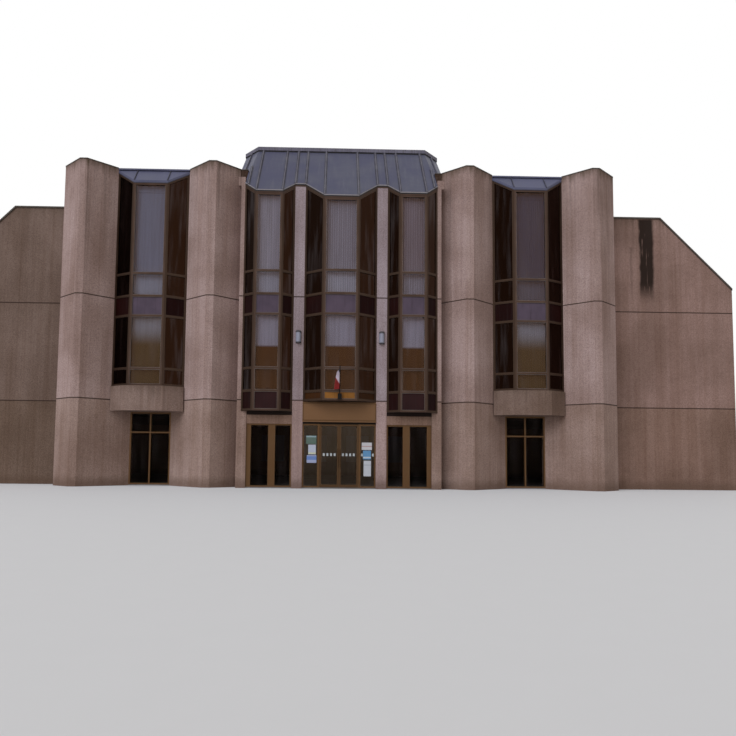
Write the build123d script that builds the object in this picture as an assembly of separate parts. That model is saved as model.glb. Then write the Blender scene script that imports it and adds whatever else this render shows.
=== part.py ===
from build123d import *
import math
import os

# A three-storey town hall of exposed concrete, dark tinted glass and bronze frames.
# Sizes are in millimetres. X runs along the front, the front faces -Y, and Z is up.
# Until the last step, y is measured from the front face of the two slender columns.

# Storeys, and the roof's eave above the second floor
ground_storey = 3340
upper_storey = 4000
eave_rise = 4360
floor_finish = 40
slab_thickness = 300

# Levels at the front, as distances from the first floor or from the head of the doors
door_head_drop = 890
head_rail_height = 70
centre_bay_drop = 40
closer_height = 40
side_bay_drop = 430
high_beam_height = 140
side_beam_drop = 10
outer_sill = 520
apron_drop = 440

# Heights of the transoms above the floor that they belong to
sill_rail = 330
low_rail = 1190
spandrel_drop = 750
spandrel_rise = 30
second_low_rail = 920

# Depth of the building, and the wings beyond the outer piers
building_depth = 14000
wing_width = 5375
wing_rake = 3000
wing_setback = 1500
wall = 250

# The slender columns beside the doors
column_centre = 1600
column_width = 400
column_depth = 400

# The fins at the ends of the central glazing, and the wider jamb below them
fin_inner = 3750
fin_width = 150
fin_rise = 350
fin_gap = 105
jamb_step = 220

# The faceted piers: the front facet stands proud and its sides slope back
pier_projection = 65
pier_slope = 0.79
pier_half_front = 145
inner_pier_inner_run = 860
outer_facet_run = 930
outer_pier_outer_run = 865
pier_spacing = 4975
pier_wall_depth = 320
recess_depth = 480
coping_height = 60
coping_lip = 40

# The canted bays of glass
centre_front_half = 650
centre_projection = 500
side_front_half = 505
side_projection = 320
outer_front_half = 650
outer_projection = 400
mullion_width = 70
mullion_depth = 100
transom_height = 70
glass_thickness = 24
panel_thickness = 40
glazing_back = 125
base_plate = 60
apron_projection = 80
apron_wall = 120

# Roofs
roof_slope = 1.3
roof_thickness = 120
canted_slope = 1.6
flank_slope = 12
flank_reach = 540
roof_rise = 2350
rim_coping_height = 150
rim_coping_width = 300
coping_joint = 6
outer_roof_slope = 1.4
outer_roof_run = 102
deck_rise = 400
deck_thickness = 250
parapet_height = 520
wing_parapet_drop = 390
wing_deck_drop = 450

# Fascia and beams over the doors
fascia_projection = 20
lip_reach = 30
lip_height = 40
closer_setback = 40
low_beam_setback = 20
high_beam_setback = 40

# Doors and entrance frames
door_half_opening = 745
door_mullion = 80
frame_depth = 100
entrance_line = 60
frame_member = 60
floor_gap = 8
leaf_thickness = 50
leaf_stile = 70
leaf_bottom_rail = 110
leaf_gap = 6
hinge_gap = 5
hinge_radius = 8
hinge_reach = 10
hinge_tab = 30
knuckle_length = 40
knuckle_gap = 0.3
hinge_low = 250
hinge_drop = 210
pull_radius = 16
pull_length = 700
pull_middle = 1150
pull_standoff = 60
pull_inset = 60
side_jamb_width = 180
side_light_width = 650
side_post_width = 270
recess_light_drop = 350

# Windows of the rear and end walls
window_width = 1300
window_spacing = 2600
rear_windows = 8
end_windows = 4
end_window_spacing = 2900
ground_sill = 900
window_head_drop = 1100
window_frame = 60
window_frame_depth = 100
window_reveal = 100

# Fittings on the front
light_radius = 100
light_height = 400
light_rise = 2220
light_plate = 15
holder_width = 150
holder_height = 220
holder_depth = 90
pole_radius = 18
pole_lean = 12
pole_rise = 1030
pole_seat = 100
flag_width = 200
flag_height = 820
flag_thickness = 40
flag_drop = 120
flag_clearance = 0.3

# Reach of the solids that only cut others, and how far a cutter passes a face
far = 40000
plane_reach = 4000
cut_over = 1

# Levels worked out from the sizes above
first_level = ground_storey
second_level = ground_storey + upper_storey
door_head = ground_storey - door_head_drop
fascia_bottom = door_head + head_rail_height
centre_bay_bottom = ground_storey - centre_bay_drop
fascia_top = centre_bay_bottom - closer_height
side_bay_bottom = ground_storey - side_bay_drop
side_beam_top = side_bay_bottom - high_beam_height
side_beam_bottom = door_head - side_beam_drop
outer_glazing_bottom = first_level + outer_sill
apron_bottom = first_level - apron_drop
recess_transom = door_head - recess_light_drop
level_sill = first_level + sill_rail
level_low = first_level + low_rail
level_spandrel_low = second_level - spandrel_drop
level_spandrel_high = second_level + spandrel_rise
level_second_low = second_level + second_low_rail
eave_height = second_level + eave_rise
fin_top = eave_height + fin_rise
rim_height = eave_height + roof_rise
main_deck_top = eave_height + deck_rise
block_top = main_deck_top + parapet_height
wing_parapet_top = eave_height - wing_parapet_drop
upper_window_head = eave_height - window_head_drop
hinge_top = door_head - hinge_drop
hinge_heights = (hinge_low, (hinge_low + hinge_top) / 2, hinge_top)
holder_bottom = first_level
light_bottom = first_level + light_rise

# Places in plan worked out from the sizes above
column_inner = column_centre - column_width / 2
column_outer = column_centre + column_width / 2
fin_outer = fin_inner + fin_width
ground_jamb = fin_inner - jamb_step
side_jamb_start = ground_jamb - side_jamb_width
side_post_end = side_jamb_start - side_light_width
side_glass_end = side_post_end - side_post_width
pier_front = -pier_projection
inner_pier_in = fin_outer + fin_gap
inner_pier_centre = inner_pier_in + inner_pier_inner_run + pier_half_front
inner_pier_out = inner_pier_centre + pier_half_front + outer_facet_run
outer_pier_centre = inner_pier_centre + pier_spacing
outer_pier_in = outer_pier_centre - pier_half_front - outer_facet_run
outer_pier_out = outer_pier_centre + pier_half_front + outer_pier_outer_run
inner_pier_in_y = pier_front + pier_slope * inner_pier_inner_run
bay_root_y = pier_front + pier_slope * outer_facet_run
outer_pier_out_y = pier_front + pier_slope * outer_pier_outer_run
centre_front = -centre_projection
side_front = -side_projection
outer_front = bay_root_y - outer_projection
outer_eave_height = block_top - coping_height - outer_roof_slope * (bay_root_y + outer_roof_run)
recess_run = recess_depth / pier_slope
recess_left = inner_pier_out + recess_run
recess_right = outer_pier_in - recess_run
recess_y = bay_root_y + recess_depth
rear_inner = building_depth - wall
wing_end = outer_pier_out + wing_width
wing_flat_end = wing_end - wing_rake
flank_base = fin_inner + flank_reach
fascia_line = -fascia_projection


def block(x_low, x_high, y_low, y_high, z_low, z_high):
    """Return a box between two corners."""
    size = (x_high - x_low, y_high - y_low, z_high - z_low)
    return Pos(x_low, y_low, z_low) * Box(*size, align=(Align.MIN, Align.MIN, Align.MIN))


def prism(points, z_low, z_high):
    """Return an upright prism over a plan outline."""
    outline = make_face(Polyline(*[(x, y, z_low) for x, y in points], close=True))
    return extrude(outline, amount=z_high - z_low, dir=(0, 0, 1))


def along_x(points, x_low, x_high):
    """Return a section drawn in y and z, drawn out along x."""
    outline = make_face(Polyline(*[(x_low, y, z) for y, z in points], close=True))
    return extrude(outline, amount=x_high - x_low, dir=(1, 0, 0))


def along_y(points, y_low, y_high):
    """Return a section drawn in x and z, drawn out along y."""
    outline = make_face(Polyline(*[(x, y_low, z) for x, z in points], close=True))
    return extrude(outline, amount=y_high - y_low, dir=(0, 1, 0))


def mirrored(shape):
    """Return the same shape on the other side of the middle."""
    return mirror(shape, about=Plane.YZ)


def both_sides(shape):
    """Return a shape and its mirror image as two separate solids."""
    return Compound(children=[*shape.solids(), *mirrored(shape).solids()])


def group(shapes):
    """Return several shapes as one compound of separate solids."""
    return Compound(children=[solid for shape in shapes for solid in shape.solids()])


def above_plane(height, slope):
    """Return all that lies over a roof plane with this height at y = 0."""
    section = [
        (-plane_reach, height - slope * plane_reach),
        (plane_reach, height + slope * plane_reach),
        (plane_reach, far),
        (-plane_reach, far),
    ]
    return along_x(section, -far, far)


def pier_section(ends, front):
    """Return the folded outline of a pier wall, from its left end to its right end."""
    outside = [ends[0], *front, ends[1]]
    inside = [(x, y + pier_wall_depth) for x, y in reversed(outside)]
    return outside + inside


class Bay:
    """One canted bay: its plan, its storeys of glass and the roof plane over it."""

    def __init__(self, left, right, front_half, root_y, front_y, bottom, levels, panels, roof):
        self.left = left
        self.right = right
        self.centre = (left + right) / 2
        self.front_half = front_half
        self.root_y = root_y
        self.front_y = front_y
        self.levels = [bottom, *levels]
        self.panels = panels
        self.roof = roof

    def corners(self, grow=0):
        """Return the four outer corners in plan, moved outward by grow."""
        return [
            (self.left, self.root_y - grow),
            (self.centre - self.front_half - grow, self.front_y - grow),
            (self.centre + self.front_half + grow, self.front_y - grow),
            (self.right, self.root_y - grow),
        ]

    def strip(self, facet, start, end, outer, inner, z_low, z_high):
        """Return a bar on one facet, by distances along it and inward from its face."""
        (ax, ay), (bx, by) = self.corners()[facet : facet + 2]
        length = math.hypot(bx - ax, by - ay)
        tx, ty = (bx - ax) / length, (by - ay) / length
        corners = [(start, outer), (length - end, outer), (length - end, inner), (start, inner)]
        points = [(ax + tx * u - ty * d, ay + ty * u + tx * d) for u, d in corners]
        return prism(points, z_low, z_high)

    def slot(self):
        """Return the space between the two pieces that carry the bay."""
        return block(self.left, self.right, -plane_reach, plane_reach, 0, far)

    def plan(self, grow=0, back=0):
        """Return the plan outline, moved outward by grow and closed behind the roots."""
        return [
            *self.corners(grow),
            (self.right, self.root_y + back),
            (self.left, self.root_y + back),
        ]

    def cells(self, depth_out, depth_in):
        """Return what fills each field of the frame, keyed by row."""
        fields = {}
        half = transom_height / 2
        head = above_plane(self.roof[0] - transom_height, self.roof[1])
        for row, low in enumerate(self.levels):
            last = row == len(self.levels) - 1
            z_low = low + (transom_height if row == 0 else half)
            z_high = self.roof[0] if last else self.levels[row + 1] - half
            pieces = []
            for facet in range(3):
                start = mullion_width
                piece = self.strip(facet, start, start, depth_out, depth_in, z_low, z_high)
                if last:
                    piece = piece - head
                pieces.append(piece)
            fields[row] = pieces
        return fields

    def frame(self):
        """Return the bronze frame: mullions, transoms and the plate under the bay."""
        bottom = self.levels[0]
        over = mullion_depth
        body = prism(self.plan(back=mullion_depth), bottom, bottom + base_plate)
        for facet in range(3):
            before = -over if facet == 0 else 0
            after = -over if facet == 2 else 0
            body += self.strip(facet, before, after, 0, mullion_depth, bottom, self.roof[0])
        for row in self.cells(-cut_over, mullion_depth + cut_over).values():
            for cell in row:
                body -= cell
        return (body & self.slot()) - above_plane(*self.roof)

    def glass(self):
        """Return the panes of clear rows."""
        middle = mullion_depth / 2
        fields = self.cells(middle - glass_thickness / 2, middle + glass_thickness / 2)
        return group([cell for row, cells in fields.items() if row not in self.panels for cell in cells])

    def spandrels(self):
        """Return the solid panels between the storeys."""
        middle = mullion_depth / 2
        fields = self.cells(middle - panel_thickness / 2, middle + panel_thickness / 2)
        return group([cell for row, cells in fields.items() if row in self.panels for cell in cells])


main_roof = (eave_height, roof_slope)
outer_roof = (outer_eave_height, outer_roof_slope)
upper_levels = [level_low, level_spandrel_low, level_spandrel_high, level_second_low]


def centre_bay():
    """Return the bay over the entrance doors."""
    levels = [level_sill, *upper_levels]
    return Bay(-column_inner, column_inner, centre_front_half, 0, centre_front,
               centre_bay_bottom, levels, (0, 3), main_roof)


def side_bay():
    """Return the bay between a column and the fin of the inner pier."""
    levels = [level_sill, *upper_levels]
    return Bay(column_outer, fin_inner, side_front_half, 0, side_front,
               side_bay_bottom, levels, (0, 3), main_roof)


def outer_bay():
    """Return the bay between the inner and the outer pier."""
    return Bay(inner_pier_out, outer_pier_in, outer_front_half, bay_root_y, outer_front,
               outer_glazing_bottom, upper_levels, (2,), outer_roof)


def inner_face_line():
    """Return the inside of the right half of the front, from the middle outward."""
    depth = pier_wall_depth
    front = pier_front + depth
    leg_inner = outer_pier_out - wall
    leg_run = leg_inner - outer_pier_centre - pier_half_front
    return [
        (fin_inner, inner_pier_in_y + depth),
        (inner_pier_in, inner_pier_in_y + depth),
        (inner_pier_centre - pier_half_front, front),
        (inner_pier_centre + pier_half_front, front),
        (inner_pier_out, bay_root_y + depth),
        (outer_pier_in, bay_root_y + depth),
        (outer_pier_centre - pier_half_front, front),
        (outer_pier_centre + pier_half_front, front),
        (leg_inner, front + pier_slope * leg_run),
        (leg_inner, wing_setback + wall),
    ]


def floor_outline(line, end_x):
    """Return the outline of a floor from the right half of its front line."""
    right = [*line, (end_x, wing_setback + wall), (end_x, rear_inner)]
    left = [(-x, y) for x, y in reversed(right)]
    return right + left


def ground_floor():
    """Return the ground slab, which reaches under the entrance and recess frames."""
    inside = inner_face_line()
    recess = [
        (recess_left, recess_y + pier_wall_depth),
        (recess_left, recess_y),
        (recess_right, recess_y),
        (recess_right, recess_y + pier_wall_depth),
    ]
    line = [
        (column_inner, entrance_line),
        (column_inner, column_depth),
        (column_outer, column_depth),
        (column_outer, entrance_line),
        (ground_jamb, entrance_line),
        (ground_jamb, inner_pier_in_y + pier_wall_depth),
        *inside[1:4],
        *recess,
        *inside[6:],
    ]
    return prism(floor_outline(line, wing_end - wall), 0, floor_finish)


def upper_front_line():
    """Return the right half of the front edge of the upper floors."""
    inside = inner_face_line()
    outer_back = bay_root_y + glazing_back
    return [
        (column_inner, glazing_back),
        (column_inner, column_depth),
        (column_outer, column_depth),
        (column_outer, glazing_back),
        (fin_inner, glazing_back),
        *inside[:5],
        (inner_pier_out, outer_back),
        (outer_pier_in, outer_back),
        *inside[5:],
    ]


def upper_floor(level):
    """Return one upper floor slab, which ends behind the columns and piers."""
    return prism(floor_outline(upper_front_line(), wing_end - wall), level - slab_thickness, level)


def main_deck():
    """Return the flat roof behind the parapets of the tall middle part."""
    line = [(fin_inner, column_depth), *inner_face_line()[:-1]]
    right = [*line, (outer_pier_out - wall, rear_inner)]
    left = [(-x, y) for x, y in reversed(right)]
    return prism(right + left, main_deck_top - deck_thickness, main_deck_top)


def column():
    """Return the right column."""
    shaft = block(column_inner, column_outer, 0, column_depth, 0, rim_height)
    return shaft - above_plane(*main_roof)


def inner_pier():
    """Return the right inner pier with its fin, ground jamb and recess cheek."""
    top = block_top
    ends = [(inner_pier_in, inner_pier_in_y), (inner_pier_out, bay_root_y)]
    front = [
        (inner_pier_centre - pier_half_front, pier_front),
        (inner_pier_centre + pier_half_front, pier_front),
    ]
    back = inner_pier_in_y + pier_wall_depth
    body = prism(pier_section(ends, front), 0, top)
    body += block(fin_inner, inner_pier_in, inner_pier_in_y, back, 0, top)
    body += block(fin_inner, fin_outer, 0, back, 0, fin_top)
    body += block(ground_jamb, fin_inner, 0, back, 0, side_bay_bottom)
    body += block(fin_inner, inner_pier_in, 0, back, eave_height, fin_top)
    cheek = [
        (inner_pier_out, bay_root_y),
        (recess_left, recess_y),
        (recess_left, recess_y + pier_wall_depth),
        (inner_pier_out, bay_root_y + pier_wall_depth),
    ]
    return body + prism(cheek, 0, apron_bottom)


def outer_pier():
    """Return the right outer pier with the leg that runs back to the wing."""
    ends = [(outer_pier_in, bay_root_y), (outer_pier_out, outer_pier_out_y)]
    front = [
        (outer_pier_centre - pier_half_front, pier_front),
        (outer_pier_centre + pier_half_front, pier_front),
    ]
    body = prism(pier_section(ends, front), 0, block_top)
    body += block(outer_pier_out - wall, outer_pier_out, outer_pier_out_y, wing_setback + wall,
                  0, block_top)
    cheek = [
        (outer_pier_in, bay_root_y),
        (recess_right, recess_y),
        (recess_right, recess_y + pier_wall_depth),
        (outer_pier_in, bay_root_y + pier_wall_depth),
    ]
    return body + prism(cheek, 0, apron_bottom)


def wing_profile(drop=0):
    """Return the outline of the right wing seen from the front, lowered by drop."""
    slant = drop * math.tan(math.pi / 8)
    return [
        (outer_pier_out, wing_parapet_top - drop),
        (wing_flat_end - slant, wing_parapet_top - drop),
        (wing_end, wing_parapet_top - wing_rake - drop * math.sqrt(2)),
    ]


def wing_wall():
    """Return the blank front wall of the right wing with its raked end."""
    outline = [*wing_profile(), (wing_end, 0), (outer_pier_out, 0)]
    return along_y(outline, wing_setback, wing_setback + wall)


def wing_roof():
    """Return the roof of the right wing: a flat part, then a slope to the end wall."""
    low = wing_profile(wing_deck_drop + deck_thickness)
    high = wing_profile(wing_deck_drop)
    inner_x = outer_pier_out - wall
    outline = [(inner_x, high[0][1]), *high[1:], *reversed(low[1:]), (inner_x, low[0][1])]
    clip = block(inner_x, wing_end - wall, wing_setback + wall, rear_inner, 0, far)
    return along_y(outline, wing_setback + wall, rear_inner) & clip


def window_cuts_x(centre, y_low, y_high, levels):
    """Return the openings of one column of windows in a wall that faces y."""
    half = window_width / 2
    return [block(centre - half, centre + half, y_low, y_high, low, high) for low, high in levels]


def storey_windows():
    """Return sill and head of the windows of each storey."""
    return [
        (ground_sill, side_beam_bottom),
        (outer_glazing_bottom, level_spandrel_low),
        (level_spandrel_high, upper_window_head),
    ]


def rear_window_centres():
    """Return the x of each column of windows in the rear wall."""
    first = -(rear_windows - 1) / 2 * window_spacing
    return [first + index * window_spacing for index in range(rear_windows)]


def end_window_centres():
    """Return the y of each column of windows in an end wall."""
    middle = (wing_setback + building_depth) / 2
    first = middle - (end_windows - 1) / 2 * end_window_spacing
    return [first + index * end_window_spacing for index in range(end_windows)]


def rear_wall():
    """Return the rear wall, with the wings' raked ends and its window openings."""
    right = [(outer_pier_out, block_top), *wing_profile(), (wing_end, 0)]
    left = [(-x, z) for x, z in reversed(right)]
    body = along_y(right + left, rear_inner, building_depth)
    for centre in rear_window_centres():
        for cut in window_cuts_x(centre, rear_inner, building_depth, storey_windows()):
            body -= cut
    return body


def end_wall():
    """Return the right end wall with its window openings."""
    top = wing_profile()[2][1]
    inner_top = top + wall
    outline = [(wing_end - wall, 0), (wing_end, 0), (wing_end, top), (wing_end - wall, inner_top)]
    body = along_y(outline, wing_setback + wall, rear_inner)
    half = window_width / 2
    for centre in end_window_centres():
        for low, high in storey_windows()[:2]:
            body -= block(wing_end - wall, wing_end, centre - half, centre + half, low, high)
    return body


def flank_parapet():
    """Return the wall of the tall middle part where it stands over the right wing."""
    low = wing_parapet_top - wing_deck_drop
    return block(outer_pier_out - wall, outer_pier_out, wing_setback + wall, rear_inner,
                 low, block_top)


def window_unit(width, height):
    """Return the frame and panes of one window, centred on x with its sill at z = 0."""
    half = width / 2
    bar = window_frame / 2
    frame = block(-half, half, 0, window_frame_depth, 0, height)
    inner_half = half - window_frame
    middle = window_frame_depth / 2
    panes = []
    for low_x, high_x in ((-inner_half, -bar), (bar, inner_half)):
        hole = block(low_x, high_x, 0, window_frame_depth, window_frame, height - window_frame)
        frame -= hole
        pane = block(low_x, high_x, middle - glass_thickness / 2, middle + glass_thickness / 2,
                     window_frame, height - window_frame)
        panes.append(pane)
    return frame, group(panes)


def rear_units():
    """Return all frames and panes of the rear and end windows."""
    frames = []
    panes = []
    rear_y = building_depth - window_reveal - window_frame_depth
    for low, high in storey_windows():
        frame, glass = window_unit(window_width, high - low)
        for centre in rear_window_centres():
            place = Pos(centre, rear_y, low)
            frames.append(place * frame)
            panes.append(place * glass)
    for low, high in storey_windows()[:2]:
        frame, glass = window_unit(window_width, high - low)
        for centre in end_window_centres():
            for side in (-1, 1):
                x = side * (wing_end - window_reveal - window_frame_depth)
                place = Pos(x, centre, low) * Rot(0, 0, -90 * side)
                frames.append(place * frame)
                panes.append(place * glass)
    return group(frames), group(panes)


def roof_corners(height):
    """Return the right half of the roof's front outline at one height."""
    rise = height - eave_height - roof_thickness
    front_y = rise / roof_slope
    cant = fin_inner - rise / canted_slope * math.sqrt(2)
    side_x = flank_base - rise / flank_slope
    return [(cant + front_y, front_y), (side_x, side_x - cant)]


def roof_outline(height, inset=0):
    """Return the outline of the main roof at one height, moved inward by inset."""
    (front_x, front_y), (side_x, side_y) = roof_corners(height)
    turn = inset * math.tan(math.pi / 8)
    quarter = [
        (front_x - turn, front_y + inset),
        (side_x - inset, side_y + turn),
    ]
    rear = [(x, rear_inner - y) for x, y in reversed(quarter)]
    right = quarter + rear
    left = [(-x, y) for x, y in reversed(right)]
    return right + left


def flat_face(points):
    """Return the flat face inside a ring of corners."""
    return make_face(Polyline(*points, close=True))


def hip_solid(inset, z_low, z_high):
    """Return the sloping block of the main roof between two heights."""
    low = [(x, y, z_low) for x, y in roof_outline(z_low, inset)]
    high = [(x, y, z_high) for x, y in roof_outline(z_high, inset)]
    faces = [flat_face(low), flat_face(high)]
    for index, corner in enumerate(low):
        after = (index + 1) % len(low)
        faces.append(flat_face([corner, low[after], high[after], high[index]]))
    return Solid(Shell(faces))


def mansard_roof():
    """Return the steep roof over the centre, with its deck and the caps over the bays."""
    base = eave_height + roof_thickness
    inset = roof_thickness / roof_slope
    body = hip_solid(0, base, rim_height)
    body += prism(roof_outline(base), eave_height, base)
    cheek = block(fin_inner - inset, far, 0, inner_pier_in_y, 0, block_top)
    cheeks = both_sides(cheek)
    hollow = hip_solid(inset, eave_height - roof_thickness, rim_height - deck_thickness)
    body -= hollow - cheeks
    lifted = above_plane(base, roof_slope)
    for bay in (centre_bay(), side_bay()):
        cap = prism(bay.plan(back=inset), 0, rim_height) & above_plane(*main_roof)
        cap = cap - lifted
        body += cap
        if bay.left > 0:
            body += mirrored(cap)
    for x_low in (column_inner, -column_outer):
        over = prism([(x_low, 0), (x_low + column_width, 0), (x_low + column_width, inset),
                      (x_low, inset)], 0, rim_height)
        body += (over & above_plane(*main_roof)) - lifted
    pier = inner_pier()
    body -= pier
    body -= mirrored(pier)
    body -= block(fin_inner, far, 0, inner_pier_in_y, 0, block_top)
    body -= block(-far, -fin_inner, 0, inner_pier_in_y, 0, block_top)
    body -= block(-far, far, column_depth, building_depth, 0, main_deck_top)
    body -= block(fin_inner, far, 0, column_depth, 0, main_deck_top)
    body -= block(-far, -fin_inner, 0, column_depth, 0, main_deck_top)
    return body


def roof_coping():
    """Return the eight lengths of coping on the rim of the main roof."""
    outer = roof_outline(rim_height, -coping_lip)
    inner = roof_outline(rim_height, rim_coping_width)
    lengths = []
    count = len(outer)
    for index in range(count):
        after = (index + 1) % count
        ends = [Vector(*outer[index]), Vector(*outer[after]), Vector(*inner[after]), Vector(*inner[index])]
        along = (ends[1] - ends[0]).normalized() * (coping_joint / 2)
        points = [ends[0] + along, ends[1] - along, ends[2] - along, ends[3] + along]
        lengths.append(prism([(p.X, p.Y) for p in points], rim_height, rim_height + rim_coping_height))
    return group(lengths)


def bay_roof():
    """Return the sloping metal roof and coping over the right outer bay."""
    bay = outer_bay()
    top = block_top - coping_height
    skin = prism(bay.plan(back=glazing_back), 0, top) & above_plane(*outer_roof)
    skin -= above_plane(outer_eave_height + roof_thickness, outer_roof_slope)
    coping = block(inner_pier_out, outer_pier_in, bay_root_y - coping_lip,
                   bay_root_y + pier_wall_depth, top, block_top)
    return skin + coping


def bay_upstand():
    """Return the wall behind the roof of the right outer bay."""
    return block(inner_pier_out, outer_pier_in, bay_root_y + glazing_back,
                 bay_root_y + pier_wall_depth, main_deck_top - deck_thickness,
                 block_top - coping_height)


def bay_apron():
    """Return the concrete tray that closes the right outer bay below its glass."""
    bay = outer_bay()
    back = recess_y + frame_depth - bay_root_y
    outside = prism(bay.plan(apron_projection, back), apron_bottom, outer_glazing_bottom)
    floor_top = first_level - slab_thickness
    room = prism(bay.plan(apron_projection - apron_wall, back + wall), floor_top, outer_glazing_bottom)
    return (outside - room) & bay.slot()


def wing_coping():
    """Return the metal coping on the right wing's wall, flat and then raked."""
    low = wing_profile()
    high = wing_profile(-coping_height)
    outline = [*low, *reversed(high)]
    strip = along_y(outline, wing_setback - coping_lip, wing_setback + wall + coping_lip)
    return strip & block(outer_pier_out, wing_end, 0, building_depth, 0, far)


def sign_fascia():
    """Return the bare fascia over the doors, with its lower lip."""
    panel = block(-column_inner, column_inner, fascia_line, glazing_back, fascia_bottom, fascia_top)
    lip = block(-column_inner, column_inner, fascia_line - lip_reach, fascia_line,
                fascia_bottom, fascia_bottom + lip_height)
    closer = block(-column_inner, column_inner, fascia_line + closer_setback, glazing_back,
                   fascia_top, centre_bay_bottom)
    return panel + lip + closer


def side_beam():
    """Return the stepped beam over the right side entrance."""
    low = block(column_outer, ground_jamb, low_beam_setback, column_depth,
                side_beam_bottom, side_beam_top)
    high = block(column_outer, ground_jamb, high_beam_setback, column_depth,
                 side_beam_top, side_bay_bottom)
    return low + high


def screen(x_low, x_high, y_low, z_low, z_high, fields):
    """Return the frame and panes of a fixed screen with openings given as boxes."""
    frame = block(x_low, x_high, y_low, y_low + frame_depth, z_low, z_high)
    middle = y_low + frame_depth / 2
    panes = []
    for field_x_low, field_x_high, field_z_low, field_z_high in fields:
        frame -= block(field_x_low, field_x_high, y_low, y_low + frame_depth,
                       field_z_low, field_z_high)
        panes.append(block(field_x_low, field_x_high, middle - glass_thickness / 2,
                           middle + glass_thickness / 2, field_z_low, field_z_high))
    return frame, group(panes)


def knuckle(side, z_low):
    """Return one knuckle of a door hinge, with its tab on the leaf (-1) or the frame (1)."""
    axis_x = door_half_opening - hinge_gap / 2
    axis_y = entrance_line - hinge_reach
    barrel = Pos(axis_x, axis_y, z_low) * Cylinder(
        hinge_radius, knuckle_length, align=(Align.CENTER, Align.CENTER, Align.MIN))
    x_low, x_high = sorted((axis_x, axis_x + side * hinge_tab))
    return barrel + block(x_low, x_high, axis_y, entrance_line, z_low, z_low + knuckle_length)


def sidelight():
    """Return the frame and pane of the fixed light right of the doors, with its hinge knuckles."""
    mullion_end = door_half_opening + door_mullion
    field = (mullion_end, column_inner - frame_member, floor_finish + frame_member,
             door_head - frame_member)
    frame, panes = screen(door_half_opening, column_inner, entrance_line, floor_finish, door_head,
                          [field])
    step = knuckle_length + knuckle_gap
    for z in hinge_heights:
        frame += knuckle(1, z - step)
        frame += knuckle(1, z + step)
    return frame, panes


def entrance_head():
    """Return the rail over the doors and sidelights."""
    return block(-column_inner, column_inner, entrance_line, entrance_line + frame_depth,
                 door_head, fascia_bottom)


def side_screen():
    """Return the frame and panes of the fixed screen in the right side entrance."""
    low = floor_finish + frame_member
    high = side_beam_bottom - frame_member
    fields = [
        (column_outer + frame_member, side_glass_end, low, high),
        (side_post_end, side_jamb_start, low, high),
    ]
    return screen(column_outer, ground_jamb, entrance_line, floor_finish, side_beam_bottom, fields)


def recess_screen():
    """Return the frame and panes of the screen at the back of the right recess."""
    middle = (recess_left + recess_right) / 2
    half_bar = frame_member / 2
    low = floor_finish + frame_member
    rail = recess_transom
    fields = []
    for x_low, x_high in ((recess_left + frame_member, middle - half_bar),
                          (middle + half_bar, recess_right - frame_member)):
        fields.append((x_low, x_high, low, rail - half_bar))
        fields.append((x_low, x_high, rail + half_bar, apron_bottom - frame_member))
    return screen(recess_left, recess_right, recess_y, floor_finish, apron_bottom, fields)


def door_leaf():
    """Return the frame with its pull bar, and the pane, of the right door leaf."""
    x_low = leaf_gap / 2
    x_high = door_half_opening - hinge_gap
    z_low = floor_finish + floor_gap
    z_high = door_head - floor_gap
    y_high = entrance_line + leaf_thickness
    leaf = block(x_low, x_high, entrance_line, y_high, z_low, z_high)
    field = (x_low + leaf_stile, x_high - leaf_stile, z_low + leaf_bottom_rail, z_high - leaf_stile)
    leaf -= block(field[0], field[1], entrance_line, y_high, field[2], field[3])
    middle = entrance_line + leaf_thickness / 2
    pane = block(field[0], field[1], middle - glass_thickness / 2, middle + glass_thickness / 2,
                 field[2], field[3])
    for z in hinge_heights:
        leaf += knuckle(-1, z)
    bar_x = x_low + leaf_stile / 2
    bar_y = entrance_line - pull_standoff
    bar_z = pull_middle - pull_length / 2
    leaf += Pos(bar_x, bar_y, bar_z) * Cylinder(
        pull_radius, pull_length, align=(Align.CENTER, Align.CENTER, Align.MIN))
    for z in (bar_z + pull_inset, bar_z + pull_length - pull_inset):
        leaf += Pos(bar_x, entrance_line, z) * Rot(90, 0, 0) * Cylinder(
            pull_radius / 2, pull_standoff, align=(Align.CENTER, Align.CENTER, Align.MIN))
    return leaf, pane


def wall_light():
    """Return the rounded light on the right column."""
    plate = block(column_centre - light_radius, column_centre + light_radius, -light_plate, 0,
                  light_bottom, light_bottom + light_height)
    body = Pos(column_centre, -light_plate, light_bottom) * Cylinder(
        light_radius, light_height, align=(Align.CENTER, Align.CENTER, Align.MIN))
    body &= block(column_centre - light_radius, column_centre + light_radius,
                  -light_plate - light_radius, -light_plate, light_bottom, light_bottom + light_height)
    return plate + body


def flag_holder():
    """Return the bracket on the middle of the centre bay with its short pole."""
    top = holder_bottom + holder_height
    bracket = block(-holder_width / 2, holder_width / 2, centre_front - holder_depth, centre_front,
                    holder_bottom, top)
    foot = Pos(0, centre_front - holder_depth / 2, top) * Rot(pole_lean, 0, 0) * Pos(0, 0, -pole_seat)
    pole = foot * Cylinder(pole_radius, pole_seat + pole_rise,
                           align=(Align.CENTER, Align.CENTER, Align.MIN))
    return bracket + pole


def flag():
    """Return the plain hanging cloth as a thin closed solid beside its pole."""
    lean = math.radians(pole_lean)
    foot_y = centre_front - holder_depth / 2
    foot_z = holder_bottom + holder_height
    rise = pole_rise * math.cos(lean) - flag_drop
    top_z = foot_z + rise
    top_y = foot_y - rise * math.tan(lean)
    edge = pole_radius + flag_clearance
    return block(-edge - flag_width, -edge, top_y - flag_thickness / 2, top_y + flag_thickness / 2,
                 top_z - flag_height, top_z)


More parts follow.
